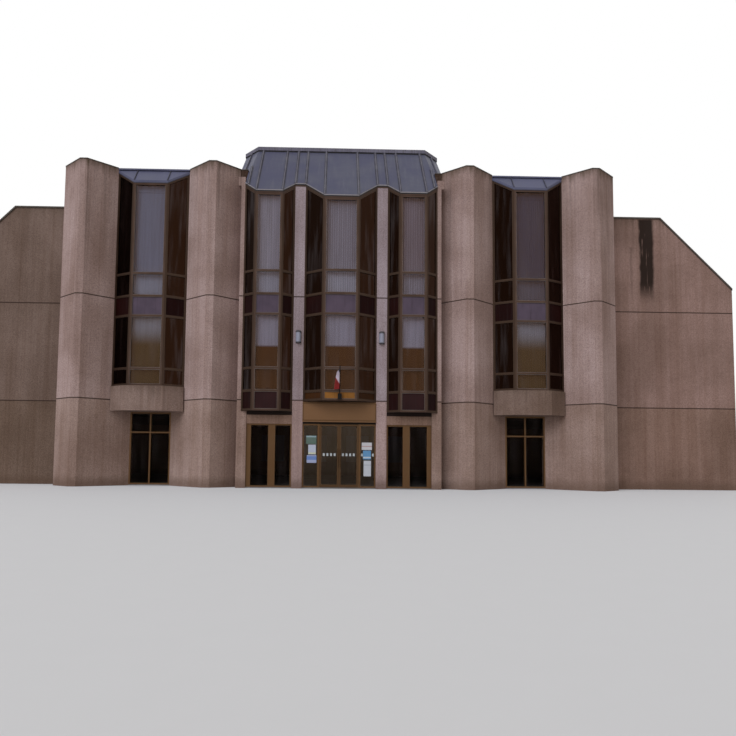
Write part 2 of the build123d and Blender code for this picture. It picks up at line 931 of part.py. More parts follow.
def build_nodes():
    """Return every named piece of the building."""
    nodes = {
        "ground_floor": ground_floor(),
        "first_floor": upper_floor(first_level),
        "second_floor": upper_floor(second_level),
        "main_deck": main_deck(),
    }
    leaf, pane = door_leaf()
    side_frame, side_panes = side_screen()
    light_frame, light_pane = sidelight()
    recess_frame, recess_panes = recess_screen()
    window_frames, window_panes = rear_units()
    pairs = {
        "column": column(),
        "inner_pier": inner_pier(),
        "outer_pier": outer_pier(),
        "wing_wall": wing_wall(),
        "door_leaf": leaf,
        "door_pane": pane,
    }
    for name, shape in pairs.items():
        nodes[f"{name}_right"] = shape
        nodes[f"{name}_left"] = mirrored(shape)
    nodes.update({
        "rear_wall": rear_wall(),
        "end_walls": both_sides(end_wall()),
        "wing_roofs": both_sides(wing_roof()),
        "wing_copings": both_sides(wing_coping()),
        "parapets": group([both_sides(flank_parapet()), both_sides(bay_upstand())]),
        "centre_bay_frame": centre_bay().frame(),
        "side_bay_frames": both_sides(side_bay().frame()),
        "outer_bay_frames": both_sides(outer_bay().frame()),
        "centre_bays_glass": group([centre_bay().glass(), both_sides(side_bay().glass())]),
        "centre_bays_panels": group([centre_bay().spandrels(), both_sides(side_bay().spandrels())]),
        "outer_bays_glass": both_sides(outer_bay().glass()),
        "outer_bays_panels": both_sides(outer_bay().spandrels()),
        "bay_aprons": both_sides(bay_apron()),
        "bay_roofs": both_sides(bay_roof()),
        "mansard_roof": mansard_roof(),
        "roof_coping": roof_coping(),
        "sign_fascia": sign_fascia(),
        "side_beams": both_sides(side_beam()),
        "entrance_head": entrance_head(),
        "sidelight_frames": both_sides(light_frame),
        "side_screens": both_sides(side_frame),
        "entrance_glass": group([both_sides(light_pane), both_sides(side_panes)]),
        "recess_screens": both_sides(recess_frame),
        "recess_glass": both_sides(recess_panes),
        "rear_window_frames": window_frames,
        "rear_window_glass": window_panes,
        "wall_lights": both_sides(wall_light()),
        "flag_holder": flag_holder(),
        "flag": flag(),
    })
    return nodes


def export_all(nodes):
    """Write one STEP file for each node, with the origin under the middle of the whole."""
    low_y = min(shape.bounding_box().min.Y for shape in nodes.values())
    high_y = max(shape.bounding_box().max.Y for shape in nodes.values())
    shift = -(low_y + high_y) / 2
    print("The front face of the columns lies at y =", round(shift, 3))
    os.makedirs("parts", exist_ok=True)
    for name, shape in nodes.items():
        solids = [Pos(0, shift, 0) * solid for solid in shape.solids()]
        export_step(Compound(children=solids), f"parts/{name}.step")


export_all(build_nodes())
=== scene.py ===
import logging
import math
from contextlib import contextmanager
from dataclasses import dataclass, replace
from enum import Enum
from typing import Any, Iterator, Sequence

import bmesh
import bpy
from mathutils import Matrix, Vector


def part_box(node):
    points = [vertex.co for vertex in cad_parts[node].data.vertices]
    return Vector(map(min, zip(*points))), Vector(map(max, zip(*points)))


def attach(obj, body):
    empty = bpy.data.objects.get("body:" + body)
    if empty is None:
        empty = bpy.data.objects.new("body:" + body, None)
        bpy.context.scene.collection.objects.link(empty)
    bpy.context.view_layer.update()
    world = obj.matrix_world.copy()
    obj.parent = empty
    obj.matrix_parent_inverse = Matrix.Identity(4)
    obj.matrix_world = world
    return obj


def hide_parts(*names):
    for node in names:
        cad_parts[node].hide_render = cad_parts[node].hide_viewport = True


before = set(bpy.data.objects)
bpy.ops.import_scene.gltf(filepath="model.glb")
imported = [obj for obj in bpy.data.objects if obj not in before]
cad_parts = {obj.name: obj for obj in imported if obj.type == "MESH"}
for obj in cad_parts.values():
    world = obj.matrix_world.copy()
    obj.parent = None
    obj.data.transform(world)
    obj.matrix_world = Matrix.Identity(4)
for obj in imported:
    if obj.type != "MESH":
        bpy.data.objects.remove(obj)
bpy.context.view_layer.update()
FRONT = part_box("column_right")[0].y
LOG = logging.getLogger("town_hall")
ROOT = "building"
VANE_HALF_THICKNESS = 0.0012
VANE_ROUNDING = 0.0008

Socket = bpy.types.NodeSocket
Piece = bpy.types.Object
Colour = tuple[float, float, float]
Point = tuple[float, float, float]


class Slot(Enum):
    """The record's material slots."""

    GOLD = "gold_bronze"
    BRONZE = "dark_bronze"
    GLASS = "tinted_glass"
    ROOF = "seamed_metal"
    COPING = "coping_metal"
    LAMP = "light_housing"
    CLOTH = "flag_cloth"


class Storey(Enum):
    """The rows of lights that share a blind, by the bay rows that they cover."""

    FIRST = (1, 2)
    SECOND = (4, 5)
    OUTER_FIRST = (0, 1)
    OUTER_SECOND = (3, 4)


def place(x: float, y: float, z: float) -> Vector:
    """Return a point whose y is measured from the front face of the columns."""
    return Vector((x, FRONT + y, z))


def upright(left: float, right: float, low: float, high: float, y: float) -> list[Vector]:
    """Return the corners of a rectangle that faces the front, anticlockwise from outside."""
    return [place(left, y, low), place(right, y, low), place(right, y, high), place(left, y, high)]


class Graph:
    """Adds nodes to one node tree and joins them."""

    def __init__(self, tree: bpy.types.NodeTree) -> None:
        """Keep the tree that the nodes go into."""
        self.tree = tree

    def add(self, kind: str, inputs: dict[Any, Any] | None = None, **settings: Any) -> bpy.types.Node:
        """Add a node.

        Args:
            kind: The node's type name.
            inputs: A value or another node's output for each input, by name or number.
            settings: The node's own settings.

        Returns:
            The new node.
        """
        node = self.tree.nodes.new(kind)
        for name, value in settings.items():
            setattr(node, name, value)
        self.fill(node, inputs or {})
        return node

    def fill(self, node: bpy.types.Node, inputs: dict[Any, Any]) -> None:
        """Set or link a node's inputs."""
        for key, value in inputs.items():
            if isinstance(value, Socket):
                self.tree.links.new(value, node.inputs[key])
            else:
                node.inputs[key].default_value = value

    def maths(self, operation: str, first: Any, second: Any = 0.0, clamp: bool = False) -> Socket:
        """Return one arithmetic step."""
        node = self.add("ShaderNodeMath", {0: first, 1: second}, operation=operation, use_clamp=clamp)
        return node.outputs[0]

    def times(self, first: Any, second: Any) -> Socket:
        """Return a product."""
        return self.maths("MULTIPLY", first, second)

    def plus(self, first: Any, second: Any, clamp: bool = False) -> Socket:
        """Return a sum."""
        return self.maths("ADD", first, second, clamp)

    def minus(self, first: Any, second: Any) -> Socket:
        """Return a difference."""
        return self.maths("SUBTRACT", first, second)

    def span(self, value: Any, low: float, high: float) -> Socket:
        """Return a value that runs smoothly from 0 at low to 1 at high."""
        inputs = {"Value": value, "From Min": low, "From Max": high}
        return self.add("ShaderNodeMapRange", inputs, interpolation_type="SMOOTHSTEP").outputs[0]

    def mix(self, factor: Any, first: Any, second: Any, blend: str = "MIX") -> Socket:
        """Return two colours mixed by a factor."""
        inputs = {0: factor, 6: paint(first), 7: paint(second)}
        node = self.add("ShaderNodeMix", inputs, data_type="RGBA", blend_type=blend)
        return node.outputs[2]

    def lay(self, mask: Any, share: Any, below: Any, above: Any, blend: str = "MIX") -> Socket:
        """Return a colour with another laid over it through a share of a mask."""
        return self.mix(self.times(mask, share), below, above, blend)

    def noise(self, vector: Any, scale: Any, detail: float = 3.0) -> Socket:
        """Return plain noise from 0 to 1."""
        inputs = {"Vector": vector, "Scale": scale, "Detail": detail}
        return self.add("ShaderNodeTexNoise", inputs).outputs[0]

    def stretched(self, vector: Any, scale: Point, location: Point = (0.0, 0.0, 0.0)) -> Socket:
        """Return a vector scaled by a different amount along each axis."""
        inputs = {"Vector": vector, "Scale": scale, "Location": location}
        return self.add("ShaderNodeMapping", inputs).outputs[0]

    def drawn(self, vector: Any, scale: Point, detail: float, location: Point = (0.0, 0.0, 0.0)) -> Socket:
        """Return noise drawn out along some axes."""
        return self.noise(self.stretched(vector, scale, location), 1.0, detail)

    def parts(self, vector: Any) -> tuple[Socket, Socket, Socket]:
        """Return the x, y and z of a vector."""
        return tuple(self.add("ShaderNodeSeparateXYZ", {0: vector}).outputs)

    def here(self) -> Socket:
        """Return the place on the object."""
        return self.add("ShaderNodeTexCoord").outputs["Object"]

    def facing(self) -> tuple[Socket, Socket, Socket]:
        """Return the x, y and z of the way that the surface faces."""
        return self.parts(self.add("ShaderNodeNewGeometry").outputs["Normal"])

    def canted(self, turned: Socket) -> Socket:
        """Return 1 where a face is turned well off the front, by the x of its normal, and 0 on the front."""
        return self.span(self.maths("ABSOLUTE", turned), 0.15, 0.3)

    def relief(self, height: Socket, distance: float, strength: float = 1.0) -> Socket:
        """Return a bumped normal."""
        inputs = {"Height": height, "Distance": distance, "Strength": strength}
        return self.add("ShaderNodeBump", inputs).outputs[0]


def paint(colour: Any) -> Any:
    """Return a colour with the alpha that a socket needs, and a socket as it is."""
    return colour if isinstance(colour, Socket) else (*colour, 1.0)


class Effect(Enum):
    """The surface effects that several materials share, with their inputs and outputs."""

    AGGREGATE = ("exposed_aggregate", ("Vector", "Size"), ("Pebbles", "Matrix", "Height"))
    CLOUDING = ("broad_clouding", ("Vector", "Size"), ("Clouds",))
    STREAKS = ("rain_streaks", ("Vector", "Top", "Length", "Spread"), ("Streaks",))
    JOINT = ("panel_joint", ("Vector", "Level", "Width"), ("Joint",))
    FOOT = ("splashed_foot", ("Vector", "Height"), ("Damp",))
    GRAIN = ("rolled_metal_grain", ("Vector", "Wave Size"), ("Grain", "Waves"))
    DUST = ("settled_dust", ("Vector", "Amount"), ("Dust",))


class Effects:
    """Builds each shared effect once, as a node group with named inputs and outputs."""

    def __init__(self) -> None:
        """Start with no groups built."""
        self.groups: dict[Effect, bpy.types.NodeTree] = {}

    def use(self, graph: Graph, effect: Effect, *values: Any) -> list[Socket]:
        """Place an effect in a material.

        Args:
            graph: The material's graph.
            effect: Which effect.
            values: What this material gives each of its inputs, in their order.

        Returns:
            The effect's outputs, in their order.
        """
        if effect not in self.groups:
            self.groups[effect] = self.group(*effect.value)
        inputs = dict(zip(effect.value[1], values))
        return list(graph.add("ShaderNodeGroup", inputs, node_tree=self.groups[effect]).outputs)

    def group(self, name: str, inputs: Sequence[str], outputs: Sequence[str]) -> bpy.types.NodeTree:
        """Build the node group of one effect.

        Args:
            name: The effect's name, which is also that of its method.
            inputs: The names of its inputs.
            outputs: The names of its outputs.

        Returns:
            The group.
        """
        tree = bpy.data.node_groups.new(name, "ShaderNodeTree")
        for title in inputs:
            kind = "NodeSocketVector" if title == "Vector" else "NodeSocketFloat"
            tree.interface.new_socket(title, in_out="INPUT", socket_type=kind)
        for title in outputs:
            tree.interface.new_socket(title, in_out="OUTPUT", socket_type="NodeSocketFloat")
        given = tree.nodes.new("NodeGroupInput").outputs
        drain = tree.nodes.new("NodeGroupOutput").inputs
        results = getattr(self, name)(Graph(tree), *(given[title] for title in inputs))
        for title, result in zip(outputs, results):
            tree.links.new(result, drain[title])
        return tree

    @staticmethod
    def exposed_aggregate(graph: Graph, vector: Socket, size: Socket) -> tuple[Socket, ...]:
        """Pebbles of many tones in a washed matrix, with their height."""
        scale = graph.maths("DIVIDE", 1.0, size)
        cells = graph.add("ShaderNodeTexVoronoi", {"Vector": vector, "Scale": scale})
        tone = graph.parts(cells.outputs["Color"])[0]
        dome = graph.span(cells.outputs["Distance"], 0.75, 0.15)
        fine = graph.add("ShaderNodeTexNoise", {"Vector": vector, "Scale": graph.times(scale, 2.5)})
        return tone, graph.minus(1.0, dome), graph.plus(dome, graph.times(fine.outputs[0], 0.4))

    @staticmethod
    def broad_clouding(graph: Graph, vector: Socket, size: Socket) -> tuple[Socket, ...]:
        """Slow changes of tone over a large face."""
        broad = graph.noise(vector, graph.maths("DIVIDE", 1.0, size), 5.0)
        return (graph.span(broad, 0.32, 0.68),)

    @staticmethod
    def rain_streaks(graph: Graph, vector: Socket, top: Socket, length: Socket,
                     spread: Socket) -> tuple[Socket, ...]:
        """Dark runs below an edge, which thin out as they go down."""
        thin = graph.drawn(vector, (7.0, 7.0, 0.18), 4.0)
        wide = graph.drawn(vector, (1.6, 1.6, 0.1), 2.0, (4.0, 2.0, 0.0))
        below = graph.minus(top, graph.parts(vector)[2])
        fade = graph.minus(1.0, graph.maths("DIVIDE", below, length, clamp=True))
        both = graph.times(graph.span(thin, 0.42, 0.7), graph.span(wide, 0.3, 0.75))
        return (graph.times(graph.plus(both, spread, clamp=True), fade),)

    @staticmethod
    def panel_joint(graph: Graph, vector: Socket, level: Socket, width: Socket) -> tuple[Socket, ...]:
        """The dark line of a horizontal joint at one level."""
        gap = graph.maths("ABSOLUTE", graph.minus(graph.parts(vector)[2], level))
        share = graph.maths("DIVIDE", gap, width)
        return (graph.minus(1.0, graph.span(share, 0.35, 0.6)),)

    @staticmethod
    def splashed_foot(graph: Graph, vector: Socket, height: Socket) -> tuple[Socket, ...]:
        """Damp and dirt near the ground, with a ragged upper edge."""
        above = graph.parts(vector)[2]
        ragged = graph.times(graph.noise(vector, 3.0, 4.0), height)
        share = graph.maths("DIVIDE", graph.minus(above, ragged), height, clamp=True)
        return (graph.minus(1.0, share),)

    @staticmethod
    def rolled_metal_grain(graph: Graph, vector: Socket, wave_size: Socket) -> tuple[Socket, ...]:
        """Fine lines along drawn metal, and slight waves of a thin sheet."""
        fine = graph.drawn(vector, (260.0, 260.0, 5.0), 2.0)
        return fine, graph.noise(vector, graph.maths("DIVIDE", 1.0, wave_size), 1.0)

    @staticmethod
    def settled_dust(graph: Graph, vector: Socket, amount: Socket) -> tuple[Socket, ...]:
        """Dust and moss where a face looks up."""
        facing = graph.facing()[2]
        patches = graph.span(graph.noise(vector, 5.0, 5.0), 0.3, 0.7)
        upward = graph.times(graph.span(facing, 0.5, 0.9), patches)
        return (graph.times(upward, amount),)


EFFECTS = Effects()


@dataclass(frozen=True)
class Finish:
    """What every finish has: a name, and a material built on first use."""

    name: str

    def material(self) -> bpy.types.Material:
        """Return the material, built on first use."""
        known = bpy.data.materials.get(self.name)
        if known is not None and known.get("made_here"):
            return known
        made = bpy.data.materials.new(self.name)
        made["made_here"] = True
        made.use_nodes = True
        made.node_tree.nodes.clear()
        graph = Graph(made.node_tree)
        surface = graph.add("ShaderNodeOutputMaterial")
        shader = graph.add("ShaderNodeBsdfPrincipled")
        made.node_tree.links.new(shader.outputs[0], surface.inputs["Surface"])
        self.build(graph, shader)
        return made

    def build(self, graph: Graph, shader: bpy.types.Node) -> None:
        """Give the shader its colour, roughness and relief."""
        raise NotImplementedError

    @staticmethod
    def clouds(graph: Graph, here: Socket, size: float) -> Socket:
        """Return slow changes of tone."""
        return EFFECTS.use(graph, Effect.CLOUDING, here, size)[0]

    @staticmethod
    def dusted(graph: Graph, here: Socket, colour: Any, amount: float, dust: Colour) -> Socket:
        """Return a colour with some dust of another colour on what looks up."""
        return graph.mix(EFFECTS.use(graph, Effect.DUST, here, amount)[0], colour, dust)


@dataclass(frozen=True)
class Stain:
    """A broad run of black water stain on a wall, in the object's frame."""

    left: float
    right: float
    top: float
    bottom: float
    strength: float = 0.98


@dataclass(frozen=True)
class Concrete(Finish):
    """Washed concrete with exposed aggregate, joints, streaks and moss."""

    pale: Colour = (0.395, 0.287, 0.262)
    dark: Colour = (0.270, 0.183, 0.158)
    joints: tuple[float, ...] = (3.34, 7.34)
    top: float = 12.62
    streak_length: float = 3.2
    streak_spread: float = 0.0
    moss: float = 0.8
    stains: tuple[Stain, ...] = ()
    mossy_end: float = 0.0
    shaded_over: float = 0.0
    lowest: Colour = (0.88, 0.86, 0.80)
    rain_dirt: Colour = (0.07, 0.045, 0.035)
    moss_colour: Colour = (0.075, 0.050, 0.030)
    black_water: Colour = (0.018, 0.010, 0.007)
    end_moss: Colour = (0.05, 0.028, 0.018)
    shadow: Colour = (0.010, 0.005, 0.004)
    damp: Colour = (0.10, 0.06, 0.04)
    joint_dirt: Colour = (0.035, 0.02, 0.015)
    pebble: float = 0.022
    joint_width: float = 0.045
    moss_edge: float = 12.02

    def build(self, graph: Graph, shader: bpy.types.Node) -> None:
        """Mix the matrix, the pebbles and the weather, and sink the joints."""
        here = graph.here()
        pebbles, matrix, relief = EFFECTS.use(graph, Effect.AGGREGATE, here, self.pebble)
        colour = graph.mix(self.clouds(graph, here, 2.2), self.dark, self.pale)
        for low, high, share, tint in ((0.55, 0.95, 0.45, (1.45, 1.5, 1.5)),
                                       (0.35, 0.05, 0.5, (0.5, 0.47, 0.46))):
            colour = graph.lay(graph.span(pebbles, low, high), share, colour, tint, "MULTIPLY")
        for stretch, detail, low, high, tint in (((13.0, 13.0, 0.16), 5.0, 0.38, 0.7, (0.87, 0.84, 0.82)),
                                                 ((2.4, 2.4, 0.22), 3.0, 0.40, 0.66, (0.86, 0.83, 0.80))):
            runs = graph.drawn(here, stretch, detail)
            colour = graph.mix(graph.span(runs, low, high), colour, tint, "MULTIPLY")
        lime = graph.drawn(here, (4.5, 4.5, 0.30), 4.0, (3.0, 7.0, 1.0))
        colour = graph.lay(graph.span(lime, 0.60, 0.74), 0.30, colour, (1.35, 1.4, 1.45), "MULTIPLY")
        colour = graph.lay(matrix, 0.3, colour, self.dark)
        reach = (self.top, self.streak_length, self.streak_spread)
        streaks = EFFECTS.use(graph, Effect.STREAKS, here, *reach)[0]
        colour = graph.lay(streaks, 0.6, colour, self.rain_dirt)
        colour = self.weathered(graph, here, colour)
        foot = EFFECTS.use(graph, Effect.FOOT, here, 0.3)[0]
        colour = graph.lay(foot, 0.55, colour, self.damp)
        for level in self.joints:
            line = EFFECTS.use(graph, Effect.JOINT, here, level, self.joint_width)[0]
            colour = graph.lay(line, 0.9, colour, self.joint_dirt)
            relief = graph.minus(relief, graph.times(line, 3.0))
        wet = graph.times(streaks, -0.15)
        graph.fill(shader, {
            "Base Color": colour,
            "Roughness": graph.plus(wet, 0.88),
            "Specular IOR Level": 0.2,
            "Normal": graph.relief(relief, 0.004, 0.7)})

    def weathered(self, graph: Graph, here: Socket, colour: Socket) -> Socket:
        """Return the colour with moss and stains at the top, a band of painted shadow above a given height,
        and a change of tone at the lowest joint.
        """
        height = graph.parts(here)[2]
        drips = graph.drawn(here, (7.0, 7.0, 0.7), 4.0)
        crown = graph.span(graph.minus(height, drips), self.top - 0.95, self.top - 0.35)
        colour = graph.lay(crown, self.moss, colour, self.moss_colour)
        for stain in self.stains:
            colour = graph.mix(self.stain_mask(graph, here, stain), colour, self.black_water)
        if self.mossy_end:
            across = graph.maths("ABSOLUTE", graph.parts(here)[0])
            inside = graph.span(across, self.mossy_end + 0.02, self.mossy_end - 0.02)
            patch = graph.times(inside, graph.span(height, self.moss_edge, self.moss_edge + 0.06))
            tuft = graph.plus(graph.noise(here, 14.0, 4.0), 0.45, clamp=True)
            colour = graph.lay(patch, tuft, colour, self.end_moss)
        # Painted shadow: a near black band above this height, where the set-back strip lies in shade.
        if self.shaded_over:
            band = graph.span(height, self.shaded_over, self.shaded_over + 0.006)
            colour = graph.lay(band, 0.95, colour, self.shadow)
        if self.joints:
            below = graph.span(height, self.joints[0] + 0.01, self.joints[0] - 0.01)
            colour = graph.mix(below, colour, self.lowest, "MULTIPLY")
        return colour

    def stain_mask(self, graph: Graph, here: Socket, stain: Stain) -> Socket:
        """Return the streaky mask of one stain, darkest along its two sides."""
        x, _, z = graph.parts(here)
        wander = graph.times(graph.noise(graph.stretched(here, (1.0, 1.0, 0.9)), 2.0), 0.16)
        moved = graph.plus(x, graph.minus(wander, 0.08))
        inside = graph.times(graph.span(moved, stain.left - 0.05, stain.left + 0.06),
                             graph.span(moved, stain.right + 0.05, stain.right - 0.08))
        middle = (stain.left + stain.right) / 2
        half = (stain.right - stain.left) / 2
        sides = graph.span(graph.maths("ABSOLUTE", graph.minus(moved, middle)), 0.0, half)
        runs = graph.span(graph.drawn(here, (13.0, 13.0, 1.0), 5.0), 0.70, 0.54)
        crown = graph.span(z, stain.top - 0.75, stain.top - 0.35)
        body = graph.plus(graph.plus(graph.times(sides, 0.55), runs), crown, clamp=True)
        fade = graph.span(z, stain.bottom, stain.bottom + 1.0)
        under = graph.span(z, stain.top + 0.02, stain.top - 0.06)
        mask = graph.times(graph.times(inside, body), fade)
        return graph.times(graph.times(mask, under), stain.strength)


@dataclass(frozen=True)
class Screed(Finish):
    """The plain grey of floors and flat roofs."""

    tone: Colour = (0.20, 0.185, 0.175)
    second: Colour = (0.13, 0.118, 0.11)
    sheet_width: float = 1.0
    lap: Colour = (0.05, 0.045, 0.04)
    dust: Colour = (0.10, 0.095, 0.06)

    def build(self, graph: Graph, shader: bpy.types.Node) -> None:
        """Mix two greys, and lay the joints of the sheets across them."""
        here = graph.here()
        clouds = self.clouds(graph, here, 1.4)
        colour = graph.mix(clouds, self.second, self.tone)
        x = graph.parts(here)[0]
        lap = graph.maths("PINGPONG", x, self.sheet_width / 2)
        line = graph.span(lap, 0.02, 0.006)
        colour = graph.lay(line, 0.6, colour, self.lap)
        grit = graph.noise(here, 140.0, 2.0)
        colour = self.dusted(graph, here, colour, 0.35, self.dust)
        graph.fill(shader, {"Base Color": colour, "Roughness": 0.9,
                            "Normal": graph.relief(grit, 0.002)})


@dataclass(frozen=True)
class Glass(Finish):
    """Glass with a thin bronze mirror coating and water marks, which lets most of the daylight in."""

    coat: Colour = (0.060, 0.031, 0.017)
    left_facing_reflection: Colour = (0.0085, 0.0035, 0.0020)
    right_facing_reflection: Colour = (0.0205, 0.0085, 0.0045)
    cover: float = 0.60
    side_cover: float = 0.96
    outer_coat: Colour | None = None
    shade: float = 0.2
    film_tone: Colour = (0.20, 0.18, 0.19)

    def build(self, graph: Graph, shader: bpy.types.Node) -> None:
        """Cover the front fields more than the canted ones, and keep the far face clear."""
        here = graph.here()
        geometry = graph.add("ShaderNodeNewGeometry")
        turned = graph.parts(geometry.outputs["Normal"])[0]
        canted = graph.canted(turned)
        runs = graph.drawn(here, (5.0, 5.0, 0.5), 4.0)
        film = graph.times(graph.span(runs, 0.45, 0.8), 0.12)
        # Painted reflection and shade: canted panes take much darker colours than the front ones, and those
        # that face left are darker again.
        side = graph.mix(graph.span(turned, -0.1, 0.1), self.left_facing_reflection, self.right_facing_reflection)
        colour = graph.mix(canted, self.coat, side)
        if self.outer_coat:
            across = graph.maths("ABSOLUTE", graph.parts(here)[0])
            colour = graph.mix(graph.span(across, 1.45, 1.55), colour, self.outer_coat)
        colour = graph.mix(film, colour, self.film_tone)
        less = graph.times(canted, self.side_cover - self.cover)
        cover = graph.plus(graph.plus(less, self.cover), graph.times(film, 0.5))
        path = graph.add("ShaderNodeLightPath")
        indirect = graph.maths("MAXIMUM", path.outputs["Is Shadow Ray"], path.outputs["Is Diffuse Ray"])
        let_in = graph.times(indirect, 1.0 - self.shade)
        cover = graph.times(cover, graph.minus(1.0, let_in))
        near = graph.minus(1.0, geometry.outputs["Backfacing"])
        waves = graph.noise(here, 0.9, 0.0)
        graph.fill(shader, {
            "Base Color": colour,
            "Metallic": 1.0,
            "Roughness": graph.plus(graph.times(film, 0.8), 0.04),
            "Alpha": graph.times(cover, near),
            "Normal": graph.relief(waves, 0.004, 0.35)})


@dataclass(frozen=True)
class Anodised(Finish):
    """Drawn aluminium in a bronze or gold anodised colour."""

    tone: Colour = (0.060, 0.039, 0.029)
    worn: Colour = (0.115, 0.090, 0.082)
    # front is a lighter colour painted on faces that face the front, as painted light; underside is painted
    # shade on faces that look down.
    front: Colour | None = None
    underside: Colour = (0.010, 0.005, 0.003)
    dirt: Colour = (0.14, 0.12, 0.10)
    metal: float = 0.75
    roughness: float = 0.42
    shine: float = 0.5

    def build(self, graph: Graph, shader: bpy.types.Node) -> None:
        """Lay fine grain, chalky weathering and grime over the colour, paint light onto what faces the
        front, and paint shade onto what looks down.
        """
        here = graph.here()
        grain, _ = EFFECTS.use(graph, Effect.GRAIN, here, 0.8)
        clouds = self.clouds(graph, here, 0.7)
        chalk = graph.times(clouds, 0.4)
        colour = graph.mix(chalk, self.tone, self.worn)
        if self.front:
            _, outward, upward = graph.facing()
            # Painted light: faces that face the front get the lighter front colour, varied a little by the
            # clouds.
            painted_light_front = graph.span(outward, -0.90, -0.97)
            painted_light_share = graph.minus(1.0, graph.times(clouds, 0.3))
            colour = graph.lay(painted_light_front, painted_light_share, colour, self.front)
            # Painted shade on faces that look down.
            colour = graph.mix(graph.span(upward, -0.7, -0.9), colour, self.underside)
        lines = graph.times(grain, 0.35)
        colour = graph.mix(lines, colour, tuple(value * 0.6 for value in self.tone))
        colour = self.dusted(graph, here, colour, 0.6, self.dirt)
        rough = graph.plus(graph.times(clouds, 0.18), self.roughness)
        graph.fill(shader, {
            "Base Color": colour,
            "Roughness": rough,
            "Metallic": self.metal,
            "Specular IOR Level": self.shine,
            "Normal": graph.relief(grain, 0.0003, 0.5)})


@dataclass(frozen=True)
class Spandrel(Finish):
    """Painted panels: mauve grey on the fronts, maroon on the canted sides as painted shade and reflection,
    ochre at the foot.
    """

    front: Colour = (0.071, 0.053, 0.071)
    side: Colour = (0.009, 0.0015, 0.0012)
    low_front: Colour = (0.022, 0.009, 0.009)
    foot: Colour = (0.215, 0.092, 0.022)
    foot_top: float = 3.75
    foot_half: float = 1.45
    glaze: Colour = (1.35, 1.32, 1.32)
    runs_tone: Colour = (0.03, 0.02, 0.02)

    def build(self, graph: Graph, shader: bpy.types.Node) -> None:
        """Pick the colour by where the panel is, and paint light and reflection by which way it faces."""
        here = graph.here()
        x, _, z = graph.parts(here)
        facing = graph.facing()[0]
        canted = graph.canted(facing)
        low = graph.span(z, self.foot_top + 0.01, self.foot_top)
        near = graph.span(graph.maths("ABSOLUTE", x), self.foot_half, self.foot_half - 0.01)
        colour = graph.mix(near, self.low_front, self.foot)
        colour = graph.mix(low, self.front, colour)
        # Painted shade and reflection: canted panels turn dark maroon.
        canted_shade = graph.times(canted, graph.minus(1.0, graph.times(low, 0.12)))
        colour = graph.mix(canted_shade, colour, self.side)
        clouds = self.clouds(graph, here, 0.8)
        colour = graph.mix(clouds, colour, self.glaze, "MULTIPLY")
        runs = graph.drawn(here, (18.0, 18.0, 0.8), 3.0)
        colour = graph.lay(graph.span(runs, 0.5, 0.8), 0.35, colour, self.runs_tone)
        _, waves = EFFECTS.use(graph, Effect.GRAIN, here, 0.5)
        graph.fill(shader, {
            "Base Color": colour,
            "Roughness": graph.plus(graph.times(clouds, 0.15), 0.35),
            "Specular IOR Level": 0.05,
            "Normal": graph.relief(waves, 0.006, 0.5)})


@dataclass(frozen=True)
class RoofMetal(Finish):
    """Slate-blue sheet metal, dulled and streaked by rain, with a grey membrane on the flat."""

    tone: Colour = (0.028, 0.029, 0.064)
    pale: Colour = (0.046, 0.046, 0.088)
    runs_tone: Colour = (0.10, 0.098, 0.12)
    membrane: Colour = (0.14, 0.13, 0.12)
    dust: Colour = (0.12, 0.115, 0.10)

    def build(self, graph: Graph, shader: bpy.types.Node) -> None:
        """Lay slow waves and faint runs over the sheet."""
        here = graph.here()
        clouds = self.clouds(graph, here, 1.1)
        _, waves = EFFECTS.use(graph, Effect.GRAIN, here, 0.45)
        colour = graph.mix(clouds, self.tone, self.pale)
        runs = graph.drawn(here, (10.0, 0.8, 0.8), 4.0)
        colour = graph.lay(graph.span(runs, 0.45, 0.8), 0.25, colour, self.runs_tone)
        facing = graph.facing()[2]
        flat = graph.span(facing, 0.96, 0.99)
        colour = graph.mix(flat, colour, self.membrane)
        colour = self.dusted(graph, here, colour, 0.25, self.dust)
        rough = graph.plus(graph.times(clouds, 0.2), 0.42)
        graph.fill(shader, {
            "Base Color": colour,
            "Roughness": graph.plus(rough, graph.times(flat, 0.3)),
            "Metallic": 0.15,
            "Normal": graph.relief(waves, 0.012, 0.5)})


@dataclass(frozen=True)
class CopingMetal(Finish):
    """Folded metal edging, dull and dirty on top."""

    tone: Colour = (0.135, 0.125, 0.165)
    dirt: Colour = (0.060, 0.050, 0.042)
    amount: float = 0.5

    def build(self, graph: Graph, shader: bpy.types.Node) -> None:
        """Lay patches of dirt over the metal."""
        here = graph.here()
        clouds = self.clouds(graph, here, 0.5)
        streaks = graph.drawn(here, (20.0, 20.0, 1.5), 3.0)
        mask = graph.times(graph.span(streaks, 0.4, 0.75), self.amount)
        colour = graph.mix(mask, self.tone, self.dirt)
        colour = self.dusted(graph, here, colour, 0.8, self.dirt)
        _, waves = EFFECTS.use(graph, Effect.GRAIN, here, 0.3)
        graph.fill(shader, {
            "Base Color": colour,
            "Roughness": graph.plus(graph.times(clouds, 0.25), 0.45),
            "Metallic": 0.3,
            "Normal": graph.relief(waves, 0.004, 0.5)})


@dataclass(frozen=True)
class Plastic(Finish):
    """Moulded plastic: opal for the lamps, dark for their ends."""

    tone: Colour = (0.36, 0.36, 0.42)
    roughness: float = 0.35

    def build(self, graph: Graph, shader: bpy.types.Node) -> None:
        """Yellow the plastic a little and leave dust in runs."""
        here = graph.here()
        runs = graph.drawn(here, (30.0, 30.0, 4.0), 3.0)
        mask = graph.times(graph.span(runs, 0.4, 0.8), 0.35)
        colour = graph.mix(mask, self.tone, tuple(value * 0.5 for value in self.tone))
        graph.fill(shader, {
            "Base Color": colour,
            "Roughness": graph.plus(graph.times(mask, 0.5), self.roughness),
            "Normal": graph.relief(runs, 0.0006, 0.6)})


